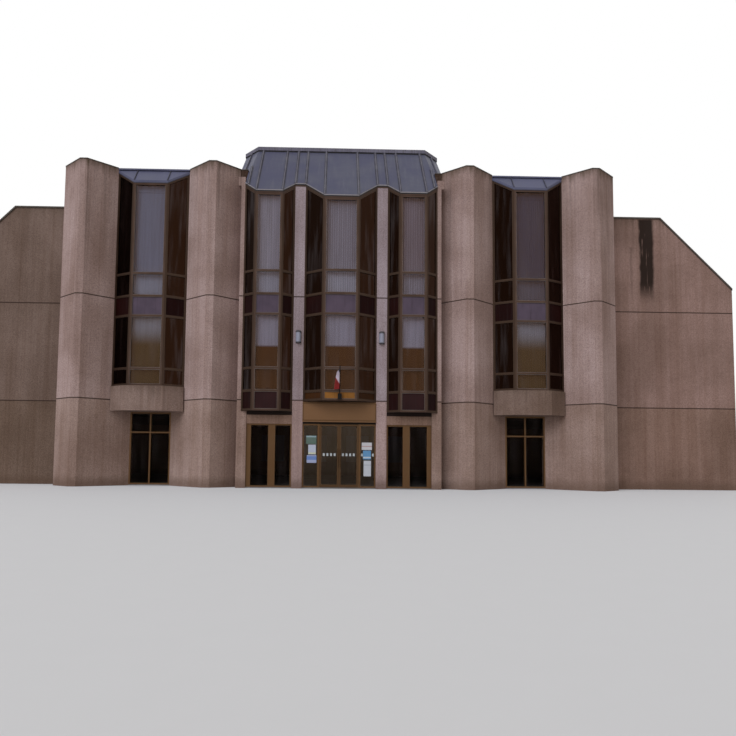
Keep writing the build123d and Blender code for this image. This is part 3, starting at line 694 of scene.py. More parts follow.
@dataclass(frozen=True)
class BlindCloth(Finish):
    """Woven vanes of a vertical blind, with painted light and painted reflections that change with height,
    and painted shade across each vane.
    """

    pale: Colour = (0.44, 0.40, 0.45)
    shade: Colour = (0.30, 0.26, 0.29)
    fade_low: float = 0.0
    fade_high: float = 1.0
    vane_shade_depth: float = 0.0
    worn_tone: Colour = (0.7, 0.68, 0.68)
    vane_shade_tone: Colour = (0.35, 0.32, 0.30)

    def build(self, graph: Graph, shader: bpy.types.Node) -> None:
        """Weave the cloth, paint light and reflections that change from the bottom up, and paint shade
        across each vane.
        """
        here = graph.here()
        z = graph.parts(here)[2]
        # Painted light and reflection: the cloth turns from the shade colour to the pale colour between the
        # two heights.
        colour = graph.mix(graph.span(z, self.fade_low, self.fade_high), self.shade, self.pale)
        slub = graph.drawn(here, (12.0, 12.0, 0.5), 2.0)
        worn = graph.times(graph.span(slub, 0.35, 0.7), 0.5)
        colour = graph.mix(worn, colour, self.worn_tone, "MULTIPLY")
        # Painted shade of the neighbouring vanes, in stripes across each vane.
        across = graph.parts(graph.add("ShaderNodeTexCoord").outputs["UV"])[1]
        wave = graph.maths("COSINE", graph.times(across, 8 * math.pi))
        edge = graph.times(graph.plus(wave, 1.0), 0.5 * self.vane_shade_depth)
        colour = graph.mix(edge, colour, self.vane_shade_tone, "MULTIPLY")
        weft = graph.drawn(here, (2.0, 2.0, 400.0), 0.0)
        graph.fill(shader, {"Base Color": colour, "Roughness": 0.95, "Specular IOR Level": 0.1,
                            "Normal": graph.relief(weft, 0.00002, 0.05)})


@dataclass(frozen=True)
class FlagCloth(Finish):
    """Thin woven flag cloth in three bands that run across the fly."""

    hoist: Colour = (0.030, 0.035, 0.075)
    middle: Colour = (0.80, 0.71, 0.78)
    fly: Colour = (0.34, 0.014, 0.012)
    thread_tone: Colour = (0.05, 0.04, 0.04)

    def build(self, graph: Graph, shader: bpy.types.Node) -> None:
        """Place the bands by the cloth's own map, and weave it."""
        spread = graph.add("ShaderNodeTexCoord").outputs["UV"]
        across, along, _ = graph.parts(spread)
        slant = graph.plus(graph.times(across, 0.38), graph.minus(1.0, along))
        first = graph.mix(graph.span(slant, 0.17, 0.19), self.hoist, self.middle)
        colour = graph.mix(graph.span(slant, 0.72, 0.74), first, self.fly)
        weave = graph.add("ShaderNodeTexWave", {"Vector": spread, "Scale": 160.0}, bands_direction="X")
        thread = graph.times(weave.outputs[1], 0.08)
        colour = graph.mix(thread, colour, self.thread_tone)
        graph.fill(shader, {"Base Color": colour, "Roughness": 0.85, "Sheen Weight": 0.08,
                            "Normal": graph.relief(weave.outputs[1], 0.0003, 0.5)})


@dataclass(frozen=True)
class Paper(Finish):
    """A printed sheet with no words: a plain ground and a band of colour."""

    ground: Colour = (0.50, 0.52, 0.55)
    band: Colour = (0.16, 0.28, 0.45)
    low: float = 0.0
    high: float = 0.0
    cockle_tone: Colour = (0.30, 0.28, 0.26)

    def build(self, graph: Graph, shader: bpy.types.Node) -> None:
        """Print the band between two heights, and cockle the sheet."""
        here = graph.here()
        z = graph.parts(here)[2]
        inside = graph.times(graph.span(z, self.low - 0.002, self.low + 0.002),
                             graph.span(z, self.high + 0.002, self.high - 0.002))
        colour = graph.mix(inside, self.ground, self.band)
        cockle = graph.noise(here, 9.0, 2.0)
        colour = graph.lay(cockle, 0.2, colour, self.cockle_tone)
        graph.fill(shader, {"Base Color": colour, "Roughness": 0.6,
                            "Normal": graph.relief(cockle, 0.004, 0.5)})


@dataclass(frozen=True)
class StageFloor(Finish):
    """The plain pale floor that the building stands on."""

    tone: Colour = (0.72, 0.715, 0.71)
    grit_tone: Colour = (0.5, 0.49, 0.48)

    def build(self, graph: Graph, shader: bpy.types.Node) -> None:
        """Keep the floor plain."""
        grit = graph.noise(graph.here(), 3.0, 2.0)
        colour = graph.lay(grit, 0.06, self.tone, self.grit_tone)
        graph.fill(shader, {"Base Color": colour, "Roughness": 0.9})


class Bench:
    """Blender's own modelling tools, worked as by hand and without a window."""

    @staticmethod
    def begin() -> None:
        """Leave nothing selected."""
        bpy.ops.object.select_all(action="DESELECT")

    @staticmethod
    def take(name: str) -> Piece:
        """Name the piece that was just added, and return it."""
        piece = bpy.context.view_layer.objects.active
        piece.name = name
        piece.data.name = name
        return piece

    @staticmethod
    def only(piece: Piece) -> None:
        """Select one piece alone."""
        Bench.begin()
        piece.select_set(True)
        bpy.context.view_layer.objects.active = piece

    @staticmethod
    def settle(piece: Piece) -> Piece:
        """Put the piece's place into its mesh."""
        Bench.only(piece)
        bpy.ops.object.transform_apply(location=True, rotation=True, scale=True)
        return piece

    @staticmethod
    def modify(piece: Piece, kind: str, **settings: Any) -> Piece:
        """Give a piece one modifier and apply it.

        Args:
            piece: The piece.
            kind: The modifier's type.
            settings: The modifier's own settings.

        Returns:
            The same piece.
        """
        Bench.only(piece)
        bpy.ops.object.modifier_add(type=kind)
        modifier = piece.modifiers[-1]
        for name, value in settings.items():
            setattr(modifier, name, value)
        bpy.ops.object.modifier_apply(modifier=modifier.name)
        return piece

    @staticmethod
    @contextmanager
    def editing(piece: Piece) -> Iterator[None]:
        """Keep a piece in edit mode, with all of it selected at first."""
        Bench.only(piece)
        bpy.ops.object.mode_set(mode="EDIT")
        bpy.ops.mesh.select_all(action="SELECT")
        yield
        bpy.ops.object.mode_set(mode="OBJECT")

    @staticmethod
    def soften(piece: Piece, width: float, segments: int = 2) -> Piece:
        """Round all edges of a piece a little."""
        return Bench.modify(piece, "BEVEL", width=width, segments=segments, limit_method="ANGLE")

    @staticmethod
    def block(name: str, low: Sequence[float], high: Sequence[float], bevel: float = 0.003) -> Piece:
        """Return a box between two corners with its edges rounded.

        Args:
            name: The piece's name.
            low: Its lowest corner.
            high: Its highest corner.
            bevel: How far its edges are rounded.

        Returns:
            The new piece.
        """
        Bench.begin()
        bottom, top = Vector(low), Vector(high)
        bpy.ops.mesh.primitive_cube_add(size=1.0, location=(bottom + top) / 2)
        piece = Bench.take(name)
        piece.scale = top - bottom
        Bench.settle(piece)
        return Bench.soften(piece, bevel)

    @staticmethod
    def vane(half: float, low: float, high: float) -> Piece:
        """Return one vane of a vertical blind over the origin, by half its width."""
        return Bench.block("vane", (-half, -VANE_HALF_THICKNESS, low), (half, VANE_HALF_THICKNESS, high),
                           VANE_ROUNDING)

    @staticmethod
    def bar(name: str, start: Vector, end: Vector, width: float, height: float, up: Vector) -> Piece:
        """Return a bar that stands on a line, with its top edges rounded.

        Args:
            name: The piece's name.
            start: Where its foot line starts.
            end: Where its foot line ends.
            width: How wide it is across the line.
            height: How far it stands up from the line.
            up: Which way it stands.

        Returns:
            The new piece.
        """
        along = end - start
        piece = Bench.block(name, (0, -width / 2, 0), (along.length, width / 2, height), width / 5)
        first = along.normalized()
        side = up.cross(first).normalized()
        top = first.cross(side)
        turn = Matrix((first, side, top)).transposed().to_4x4()
        piece.matrix_world = Matrix.Translation(start) @ turn
        return Bench.settle(piece)

    @staticmethod
    def quad(name: str, corners: Sequence[Vector]) -> Piece:
        """Return one flat face with four corners, given in a ring."""
        Bench.begin()
        bpy.ops.mesh.primitive_plane_add(size=1.0)
        piece = Bench.take(name)
        for index, corner in zip((0, 1, 3, 2), corners):
            piece.data.vertices[index].co = corner
        return piece

    @staticmethod
    def thicken(piece: Piece, thickness: float, offset: float = -1.0) -> Piece:
        """Give a sheet its thickness, behind its face by default."""
        return Bench.modify(piece, "SOLIDIFY", thickness=thickness, offset=offset, use_even_offset=True)

    @staticmethod
    def ring(name: str, corners: Sequence[Vector], width: float, depth: float) -> Piece:
        """Return a flat ring inside four corners, with a thickness behind it.

        Args:
            name: The piece's name.
            corners: The ring's outer corners, anticlockwise from outside.
            width: How wide the ring is.
            depth: How thick it is.

        Returns:
            The new piece.
        """
        piece = Bench.quad(name, corners)
        with Bench.editing(piece):
            bpy.ops.mesh.inset(thickness=width, use_even_offset=True)
            bpy.ops.mesh.delete(type="FACE")
        return Bench.thicken(piece, depth)

    @staticmethod
    def band(name: str, pairs: Sequence[tuple[Vector, Vector]], thickness: float,
             offset: float = 1.0, bevel: float = 0.0) -> Piece:
        """Return a folded strip drawn out from pair to pair of points.

        Args:
            name: The piece's name.
            pairs: The two edges of the strip, point by point.
            thickness: How thick the strip is.
            offset: Which side it thickens to.
            bevel: How far its edges are rounded.

        Returns:
            The new piece.
        """
        (first, above), (second, over) = pairs[0], pairs[1]
        piece = Bench.quad(name, (first, second, over, above))
        with Bench.editing(piece):
            bpy.ops.mesh.select_mode(type="EDGE")
            bpy.ops.mesh.select_all(action="DESELECT")
            mesh = bmesh.from_edit_mesh(piece.data)
            mesh.verts.ensure_lookup_table()
            ends = {mesh.verts[1], mesh.verts[3]}
            for edge in mesh.edges:
                if set(edge.verts) == ends:
                    edge.select_set(True)
            bmesh.update_edit_mesh(piece.data)
            for (low, high), (last_low, _) in zip(pairs[2:], pairs[1:]):
                bpy.ops.mesh.extrude_edges_move()
                mesh = bmesh.from_edit_mesh(piece.data)
                chosen = [vertex for vertex in mesh.verts if vertex.select]
                chosen.sort(key=lambda vertex: (vertex.co - last_low).length)
                chosen[0].co, chosen[1].co = low, high
                bmesh.update_edit_mesh(piece.data)
        Bench.thicken(piece, thickness, offset)
        Bench.outward(piece)
        return Bench.soften(piece, bevel) if bevel else piece

    @staticmethod
    def outward(piece: Piece) -> Piece:
        """Turn all faces of a piece outward."""
        with Bench.editing(piece):
            bpy.ops.mesh.normals_make_consistent(inside=False)
        return piece

    @staticmethod
    def repeat(piece: Piece, count: int, step: Vector) -> Piece:
        """Copy a piece in a row inside its own mesh."""
        return Bench.modify(piece, "ARRAY", count=count, use_relative_offset=False,
                            use_constant_offset=True, constant_offset_displace=step)

    @staticmethod
    def cut(piece: Piece, point: Vector, normal: Vector) -> Piece:
        """Cut away what lies beyond a plane, and close the cut."""
        with Bench.editing(piece):
            bpy.ops.mesh.bisect(plane_co=point, plane_no=normal, use_fill=True, clear_outer=True)
        return piece

    @staticmethod
    def mirrored(piece: Piece, name: str) -> Piece:
        """Return the mirror image on the other side of the middle."""
        Bench.only(piece)
        bpy.ops.object.duplicate()
        twin = Bench.take(name)
        twin.scale.x = -1.0
        Bench.settle(twin)
        return Bench.outward(twin)

    @staticmethod
    def join(name: str, pieces: Sequence[Piece]) -> Piece:
        """Join pieces into one."""
        Bench.begin()
        for piece in pieces:
            piece.select_set(True)
        bpy.context.view_layer.objects.active = pieces[0]
        if len(pieces) > 1:
            bpy.ops.object.join()
        return Bench.take(name)

    @staticmethod
    def tube(name: str, start: Vector, end: Vector, radius: float, sides: int, rounding: float) -> Piece:
        """Return a round bar between two points with rounded ends."""
        Bench.begin()
        along = end - start
        turn = along.to_track_quat("Z", "Y").to_euler()
        bpy.ops.mesh.primitive_cylinder_add(vertices=sides, radius=radius, depth=along.length,
                                            location=(start + end) / 2, rotation=turn)
        piece = Bench.take(name)
        Bench.settle(piece)
        Bench.soften(piece, rounding, 5)
        Bench.only(piece)
        bpy.ops.object.shade_smooth_by_angle(angle=math.radians(40))
        return piece


def dress(piece: Piece, finish: Finish, body: str = ROOT) -> Piece:
    """Give a new piece its finish and its body, and report it.

    Args:
        piece: The finished mesh.
        finish: What it is made of.
        body: The CAD body that carries it.

    Returns:
        The same piece.
    """
    piece.data.materials.clear()
    piece.data.materials.append(finish.material())
    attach(piece, body)
    LOG.info("%s: %d faces", piece.name, len(piece.data.polygons))
    return piece


def dress_both(piece: Piece, twin: str, finish: Finish) -> None:
    """Dress a piece, and its mirror image under a name of its own."""
    dress(Bench.mirrored(piece, twin), finish)
    dress(piece, finish)


@dataclass(frozen=True)
class Facet:
    """One upright face of a bay, seen from above."""

    start: tuple[float, float]
    end: tuple[float, float]

    @property
    def length(self) -> float:
        """How long the facet is."""
        return math.dist(self.start, self.end)

    @property
    def along(self) -> Vector:
        """The direction from its start to its end."""
        return Vector((self.end[0] - self.start[0], self.end[1] - self.start[1], 0)).normalized()

    @property
    def inward(self) -> Vector:
        """The direction into the building."""
        return Vector((-self.along.y, self.along.x, 0))

    def point(self, across: float, deep: float, height: float) -> Vector:
        """Return a point by its place along the facet, its depth behind it, and its height."""
        foot = place(self.start[0], self.start[1], height)
        return foot + self.along * across + self.inward * deep


@dataclass(frozen=True)
class Light:
    """One field of a bay's frame."""

    facet: Facet
    side: int
    row: int
    low: float
    high: float
    sloped: bool


@dataclass(frozen=True)
class BayPlan:
    """The plan and the rows of one canted bay, as in the model."""

    name: str
    left: float
    right: float
    front_half: float
    root_y: float
    front_y: float
    levels: tuple[float, ...]
    eave: float
    slope: float
    mullion: float = 0.07

    def mirrored(self, name: str) -> "BayPlan":
        """Return the same bay on the other side of the middle."""
        return replace(self, name=name, left=-self.right, right=-self.left)

    def facets(self) -> list[Facet]:
        """Return the three faces, from left to right."""
        middle = (self.left + self.right) / 2
        corners = [(self.left, self.root_y), (middle - self.front_half, self.front_y),
                   (middle + self.front_half, self.front_y), (self.right, self.root_y)]
        return [Facet(corners[index], corners[index + 1]) for index in range(3)]

    def head(self, point: Vector) -> float:
        """Return the height of the sloping head rail's underside over a point."""
        return self.eave - self.mullion + self.slope * (point.y - FRONT)

    def lights(self) -> Iterator[Light]:
        """Yield every field of the frame."""
        for side, facet in enumerate(self.facets()):
            for row, level in enumerate(self.levels):
                last = row == len(self.levels) - 1
                low = level + (self.mullion if row == 0 else self.mullion / 2)
                high = self.eave if last else self.levels[row + 1] - self.mullion / 2
                yield Light(facet, side, row, low, high, last)

    def corners(self, light: Light, deep: float) -> list[Vector]:
        """Return the corners of a field at one depth, anticlockwise from outside."""
        left, right = self.mullion, light.facet.length - self.mullion
        ring = [light.facet.point(left, deep, light.low), light.facet.point(right, deep, light.low),
                light.facet.point(right, deep, light.high), light.facet.point(left, deep, light.high)]
        if light.sloped:
            for point in ring[2:]:
                point.z = self.head(point)
        return ring


UPPER = (4.53, 6.59, 7.37, 8.26)
CENTRE_BAY = BayPlan("centre_bay", -1.4, 1.4, 0.65, 0.0, -0.5, (3.3, 3.67, *UPPER), 11.7, 1.3)
RIGHT_BAY = BayPlan("right_bay", 1.8, 3.75, 0.505, 0.0, -0.32, (2.91, 3.67, *UPPER), 11.7, 1.3)
LEFT_BAY = RIGHT_BAY.mirrored("left_bay")
OUTER_RIGHT = BayPlan("outer_right_bay", 6.085, 8.91, 0.65, 0.6697, 0.2697, (3.86, *UPPER), 11.4796, 1.4)
OUTER_LEFT = OUTER_RIGHT.mirrored("outer_left_bay")

CONCRETE = Concrete("washed_concrete")
PIER_CONCRETE = Concrete("pier_concrete", streak_length=4.5)
INNER_PIER_CONCRETE = replace(PIER_CONCRETE, name="inner_pier_concrete", mossy_end=4.04)
COLUMN_CONCRETE = Concrete("column_concrete", pale=(0.375, 0.300, 0.315), dark=(0.270, 0.208, 0.215),
                           top=12.2, streak_length=1.5, moss=0.3, lowest=(1.06, 0.95, 0.84))
APRON_CONCRETE = Concrete("apron_concrete", pale=(0.265, 0.185, 0.155), dark=(0.150, 0.098, 0.074),
                          joints=(), top=3.86, streak_length=0.9, streak_spread=0.12, moss=0.3)
# The side beams have a band of painted shadow above 2.772 m.
BEAM_CONCRETE = Concrete("beam_concrete", pale=(0.290, 0.188, 0.146), dark=(0.200, 0.122, 0.088),
                         joints=(), top=2.91, streak_length=0.8, moss=0.2, shaded_over=2.772)
# This darker tone is partly the wall's own and partly painted shade, from the trees that shade the left
# wing.
WING_CONCRETE = Concrete("wing_concrete", pale=(0.214, 0.149, 0.121), dark=(0.150, 0.101, 0.079),
                         top=11.31, streak_length=2.0, moss=0.35)
STAINED_CONCRETE = replace(WING_CONCRETE, name="stained_wing_concrete", pale=(0.290, 0.185, 0.155),
                           dark=(0.200, 0.125, 0.100),
                           stains=(Stain(12.49, 13.10, 11.3, 7.6), Stain(12.10, 12.18, 10.1, 7.7, 0.45)))
FLOORS = Screed("floor_screed")
DECK = Screed("deck_membrane", tone=(0.15, 0.145, 0.14), second=(0.10, 0.095, 0.09))
GLAZING = Glass("tinted_glazing")
DOOR_GLAZING = Glass("entrance_glazing", coat=(0.082, 0.060, 0.042), cover=0.4,
                     outer_coat=(0.007, 0.004, 0.003))
BRONZE = Anodised("dark_bronze_frames")
# The front colours of the bay frames and beads are painted light on what faces the front.
BAY_BRONZE = replace(BRONZE, name="bay_frame_bronze", tone=(0.050, 0.027, 0.016), worn=(0.080, 0.050, 0.036),
                     front=(0.086, 0.050, 0.036))
PALE_BRONZE = replace(BAY_BRONZE, name="bronze_beads", worn=(0.100, 0.062, 0.042),
                      front=(0.175, 0.142, 0.128), roughness=0.38)
POLE_BRONZE = Anodised("flag_pole_bronze", tone=(0.006, 0.005, 0.005), worn=(0.010, 0.008, 0.008), metal=0.0,
                       shine=0.15)
GOLD = Anodised("gold_bronze_frames", tone=(0.115, 0.054, 0.018), worn=(0.17, 0.095, 0.045), metal=0.6)
DARK_GOLD = Anodised("door_leaf_bronze", tone=(0.080, 0.038, 0.013), worn=(0.13, 0.070, 0.032), metal=0.6)
# The head rail over the centre doors is near black as painted shade under the fascia.
SHADED_HEAD_BRONZE = Anodised("shaded_head_rail_bronze", tone=(0.010, 0.006, 0.004), worn=(0.017, 0.012, 0.009), metal=0.5,
                       shine=0.2)
FASCIA = Anodised("gold_bronze_fascia", tone=(0.180, 0.086, 0.034), worn=(0.21, 0.115, 0.055), metal=0.35,
                  roughness=0.5)
PANELS = Spandrel("spandrel_paint")
ROOF = RoofMetal("slate_blue_metal")
PALE_ROOF = RoofMetal("small_roof_metal", tone=(0.056, 0.058, 0.105), pale=(0.088, 0.089, 0.145))
SEAM = CopingMetal("seam_metal", tone=(0.040, 0.038, 0.056), amount=0.2)
# The seam caps are paler than the roof sheet as a painted highlight on the seam tops.
SEAM_HIGHLIGHT = CopingMetal("seam_caps_painted_highlight", tone=(0.125, 0.118, 0.150), amount=0.15)
TRIM = CopingMetal("eave_trim", tone=(0.24, 0.22, 0.23), amount=0.2)
COPING = CopingMetal("coping_sheet")
DARK_COPING = CopingMetal("weathered_coping", tone=(0.075, 0.06, 0.05), dirt=(0.035, 0.028, 0.018),
                          amount=0.7)
# Near black strips laid where there is only shade: painted shadow.
PAINTED_SHADOW = CopingMetal("painted_shadow_slot", tone=(0.012, 0.010, 0.012), dirt=(0.008, 0.007, 0.006), amount=0.5)
OPAL = Plastic("opal_diffuser", tone=(0.26, 0.26, 0.315))
LAMP_DARK = Plastic("lamp_ends", tone=(0.06, 0.055, 0.06), roughness=0.5)
# Blind cloths: the change from the second colour below to the first above, between the two heights, is
# painted light and painted reflection; the last number is the painted shade across each vane.
LEFT_BLIND = BlindCloth("left_bay_blinds", (0.50, 0.50, 0.63), (0.52, 0.55, 0.70), 7.9, 8.7, 0.25)
MIDDLE_BLIND = BlindCloth("centre_bay_blinds", (0.42, 0.42, 0.54), (0.58, 0.61, 0.77), 7.9, 8.7, 0.45)
RIGHT_BLIND = BlindCloth("right_bay_blinds", (0.34, 0.305, 0.39), (0.42, 0.42, 0.54), 7.9, 8.7, 0.45)
FAR_LEFT_BLIND = BlindCloth("outer_left_blinds", (0.27, 0.31, 0.45), (0.40, 0.44, 0.58), 7.9, 8.7)
FAR_RIGHT_BLIND = BlindCloth("outer_right_blinds", (0.088, 0.098, 0.165), (0.16, 0.17, 0.24), 7.9, 8.7)
LOWER_BLIND = BlindCloth("lower_blinds", (0.46, 0.46, 0.60), (0.075, 0.027, 0.006), 5.33, 5.45)
OUTER_LOWER_BLIND = BlindCloth("outer_lower_blinds", (0.36, 0.38, 0.46), (0.105, 0.075, 0.035), 5.4, 6.2)
# The blinds behind the canted panes are a near black copy of the blind cloth, as painted shade.
SHADED_SIDE_BLIND = BlindCloth("side_blinds", (0.020, 0.009, 0.004), (0.009, 0.004, 0.002), 3.0, 11.0)
PLAIN_BLIND = BlindCloth("rear_blinds", fade_high=10.0)
FLAG_CLOTH = FlagCloth("flag_cloth_weave")
WHITE_FILM = Paper("white_film", (0.40, 0.42, 0.42), (0.40, 0.42, 0.42))


@dataclass(frozen=True)
class CarriedNodes:
    """The finish of every node that the model brings with it."""

    finishes: tuple[tuple[Finish, str], ...] = (
        (COLUMN_CONCRETE, "column"), (INNER_PIER_CONCRETE, "inner_pier"), (PIER_CONCRETE, "outer_pier"),
        (STAINED_CONCRETE, "wing_wall_right"), (WING_CONCRETE, "wing_wall end_walls"),
        (CONCRETE, "rear_wall parapets"), (APRON_CONCRETE, "bay_aprons"), (BEAM_CONCRETE, "side_beams"),
        (FLOORS, "ground_floor first_floor second_floor"), (DECK, "main_deck"),
        (GLAZING, "centre_bays_glass outer_bays_glass rear_window_glass"),
        (DOOR_GLAZING, "entrance_glass recess_glass door_pane"), (DARK_GOLD, "door_leaf"),
        (SHADED_HEAD_BRONZE, "entrance_head"), (GOLD, "sidelight_frames side_screens recess_screens"),
        (FASCIA, "sign_fascia"), (BAY_BRONZE, "centre_bay_frame side_bay_frames outer_bay_frames"),
        (BRONZE, "rear_window_frames"), (POLE_BRONZE, "flag_holder"),
        (PANELS, "centre_bays_panels outer_bays_panels"), (ROOF, "mansard_roof"),
        (PALE_ROOF, "bay_roofs wing_roofs"), (COPING, "roof_coping"), (DARK_COPING, "wing_copings"),
        (OPAL, "wall_lights"), (FLAG_CLOTH, "flag"))

    def build(self) -> None:
        """Give each node the first finish that has a name which it starts with."""
        for name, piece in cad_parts.items():
            finish = next(found for found, starts in self.finishes if name.startswith(tuple(starts.split())))
            piece.data.materials.clear()
            piece.data.materials.append(finish.material())
            LOG.info("%s: %s", name, finish.name)


@dataclass
class BayGlazing:
    """The beads round the panes of one bay, and the blinds behind them."""

    plan: BayPlan
    blinds: tuple[tuple[Storey, BlindCloth], ...]
    bead_width: float = 0.015
    bead_face: float = 0.008
    glass_face: float = 0.038
    vane_share: float = 1.06
    vane_pitch: float = 0.087
    vane_depth: float = 0.17
    front_turn: float = 12.0
    side_turn: float = 4.0
    corner_gap: float = 0.05
    overlap: float = 0.03
    above_light: float = 0.04
    above_slope: float = 0.1
    under_rail: float = 0.02

    def build(self) -> None:
        """Make the beads and the blinds."""
        rings = []
        for light in self.plan.lights():
            corners = self.plan.corners(light, self.bead_face)
            rings.append(Bench.ring("bead", corners, self.bead_width, self.glass_face - self.bead_face))
        dress(Bench.join(f"{self.plan.name}_beads", rings), PALE_BRONZE)
        for storey, cloth in self.blinds:
            self.build_blinds(storey, cloth)

    def build_blinds(self, storey: Storey, cloth: BlindCloth) -> None:
        """Hang the vanes of one storey behind each face of the bay."""
        first, last = storey.value
        fronts, sides = [], []
        for side in range(3):
            rows = [light for light in self.plan.lights()
                    if light.side == side and light.row in (first, last)]
            (fronts if side == 1 else sides).append(self.vanes(rows[0], rows[-1]))
        label = storey.name.lower()
        dress(Bench.join(f"{self.plan.name}_{label}_blinds", fronts), cloth)
        dress(Bench.join(f"{self.plan.name}_{label}_side_blinds", sides), SHADED_SIDE_BLIND)

    def vanes(self, bottom: Light, top: Light) -> Piece:
        """Return a row of vanes behind one face, from the corner line to the wall.

        Args:
            bottom: The lowest field that they cover.
            top: The topmost field that they cover.

        Returns:
            The joined vanes.
        """
        facet = bottom.facet
        left = -self.corner_gap if bottom.side == 0 else self.corner_gap
        right = facet.length + (self.corner_gap if bottom.side == 2 else -self.corner_gap)
        count = round((right - left) / self.vane_pitch)
        pitch = (right - left) / count
        ends = [facet.point(across, self.vane_depth, 0.0) for across in (left, right)]
        high = (max(map(self.plan.head, ends)) + self.above_slope if top.sloped
                else top.high + self.above_light)
        vane = Bench.vane(pitch * self.vane_share / 2, bottom.low - self.overlap, high)
        turn = self.front_turn if bottom.side == 1 else self.side_turn
        heading = math.atan2(facet.along.y, facet.along.x) + math.radians(turn)
        foot = ends[0] + facet.along * pitch / 2
        vane.matrix_world = Matrix.Translation(foot) @ Matrix.Rotation(heading, 4, "Z")
        Bench.settle(vane)
        Bench.repeat(vane, count, facet.along * pitch)
        if top.sloped:
            ends[0].z = self.plan.head(ends[0]) - self.under_rail
            Bench.cut(vane, ends[0], Vector((0, -self.plan.slope, 1)))
        return vane


@dataclass
class OuterBayHeads:
    """The tops of an outer bay's posts and panes, with its sloping head rails."""

    plan: BayPlan
    frame_depth: float = 0.1
    glass_face: float = 0.038
    glass_thickness: float = 0.024

    def build(self) -> None:
        """Carry the posts and the panes up to the small roof."""
        rails, panes = [], []
        for facet in self.plan.facets():
            rail = self.plan.mullion
            far = facet.length - rail
            for ends, low in (((0.0, rail), self.plan.eave), ((far, facet.length), self.plan.eave),
                              ((rail, far), None)):
                rails.append(self.field(facet, ends, 0.0, rail, low, self.frame_depth))
            panes.append(self.field(facet, (rail, far), self.glass_face, 0.0, self.plan.eave,
                                    self.glass_thickness))
        dress(Bench.join(f"{self.plan.name}_head_frame", rails), BAY_BRONZE)
        dress(Bench.join(f"{self.plan.name}_head_panes", panes), GLAZING)

    def field(self, facet: Facet, ends: tuple[float, float], deep: float, lift: float,
              low: float | None, thickness: float) -> Piece:
        """Return an upright slab under the slope of the roof.

        Args:
            facet: The face that it lies in.
            ends: Its two ends along the facet.
            deep: How far its front lies behind the facet.
            lift: How far its top is above the underside of the head rail.
            low: The height of its lower edge, or nothing for a rail that follows the slope.
            thickness: How thick it is.

        Returns:
            The new piece.
        """
        upper = [facet.point(across, deep, 0.0) for across in ends]
        for point in upper:
            point.z = self.plan.head(point) + lift
        lower = [Vector((point.x, point.y, point.z - self.plan.mullion if low is None else low))
                 for point in upper]
        return Bench.thicken(Bench.quad("field", (*lower, *reversed(upper))), thickness)


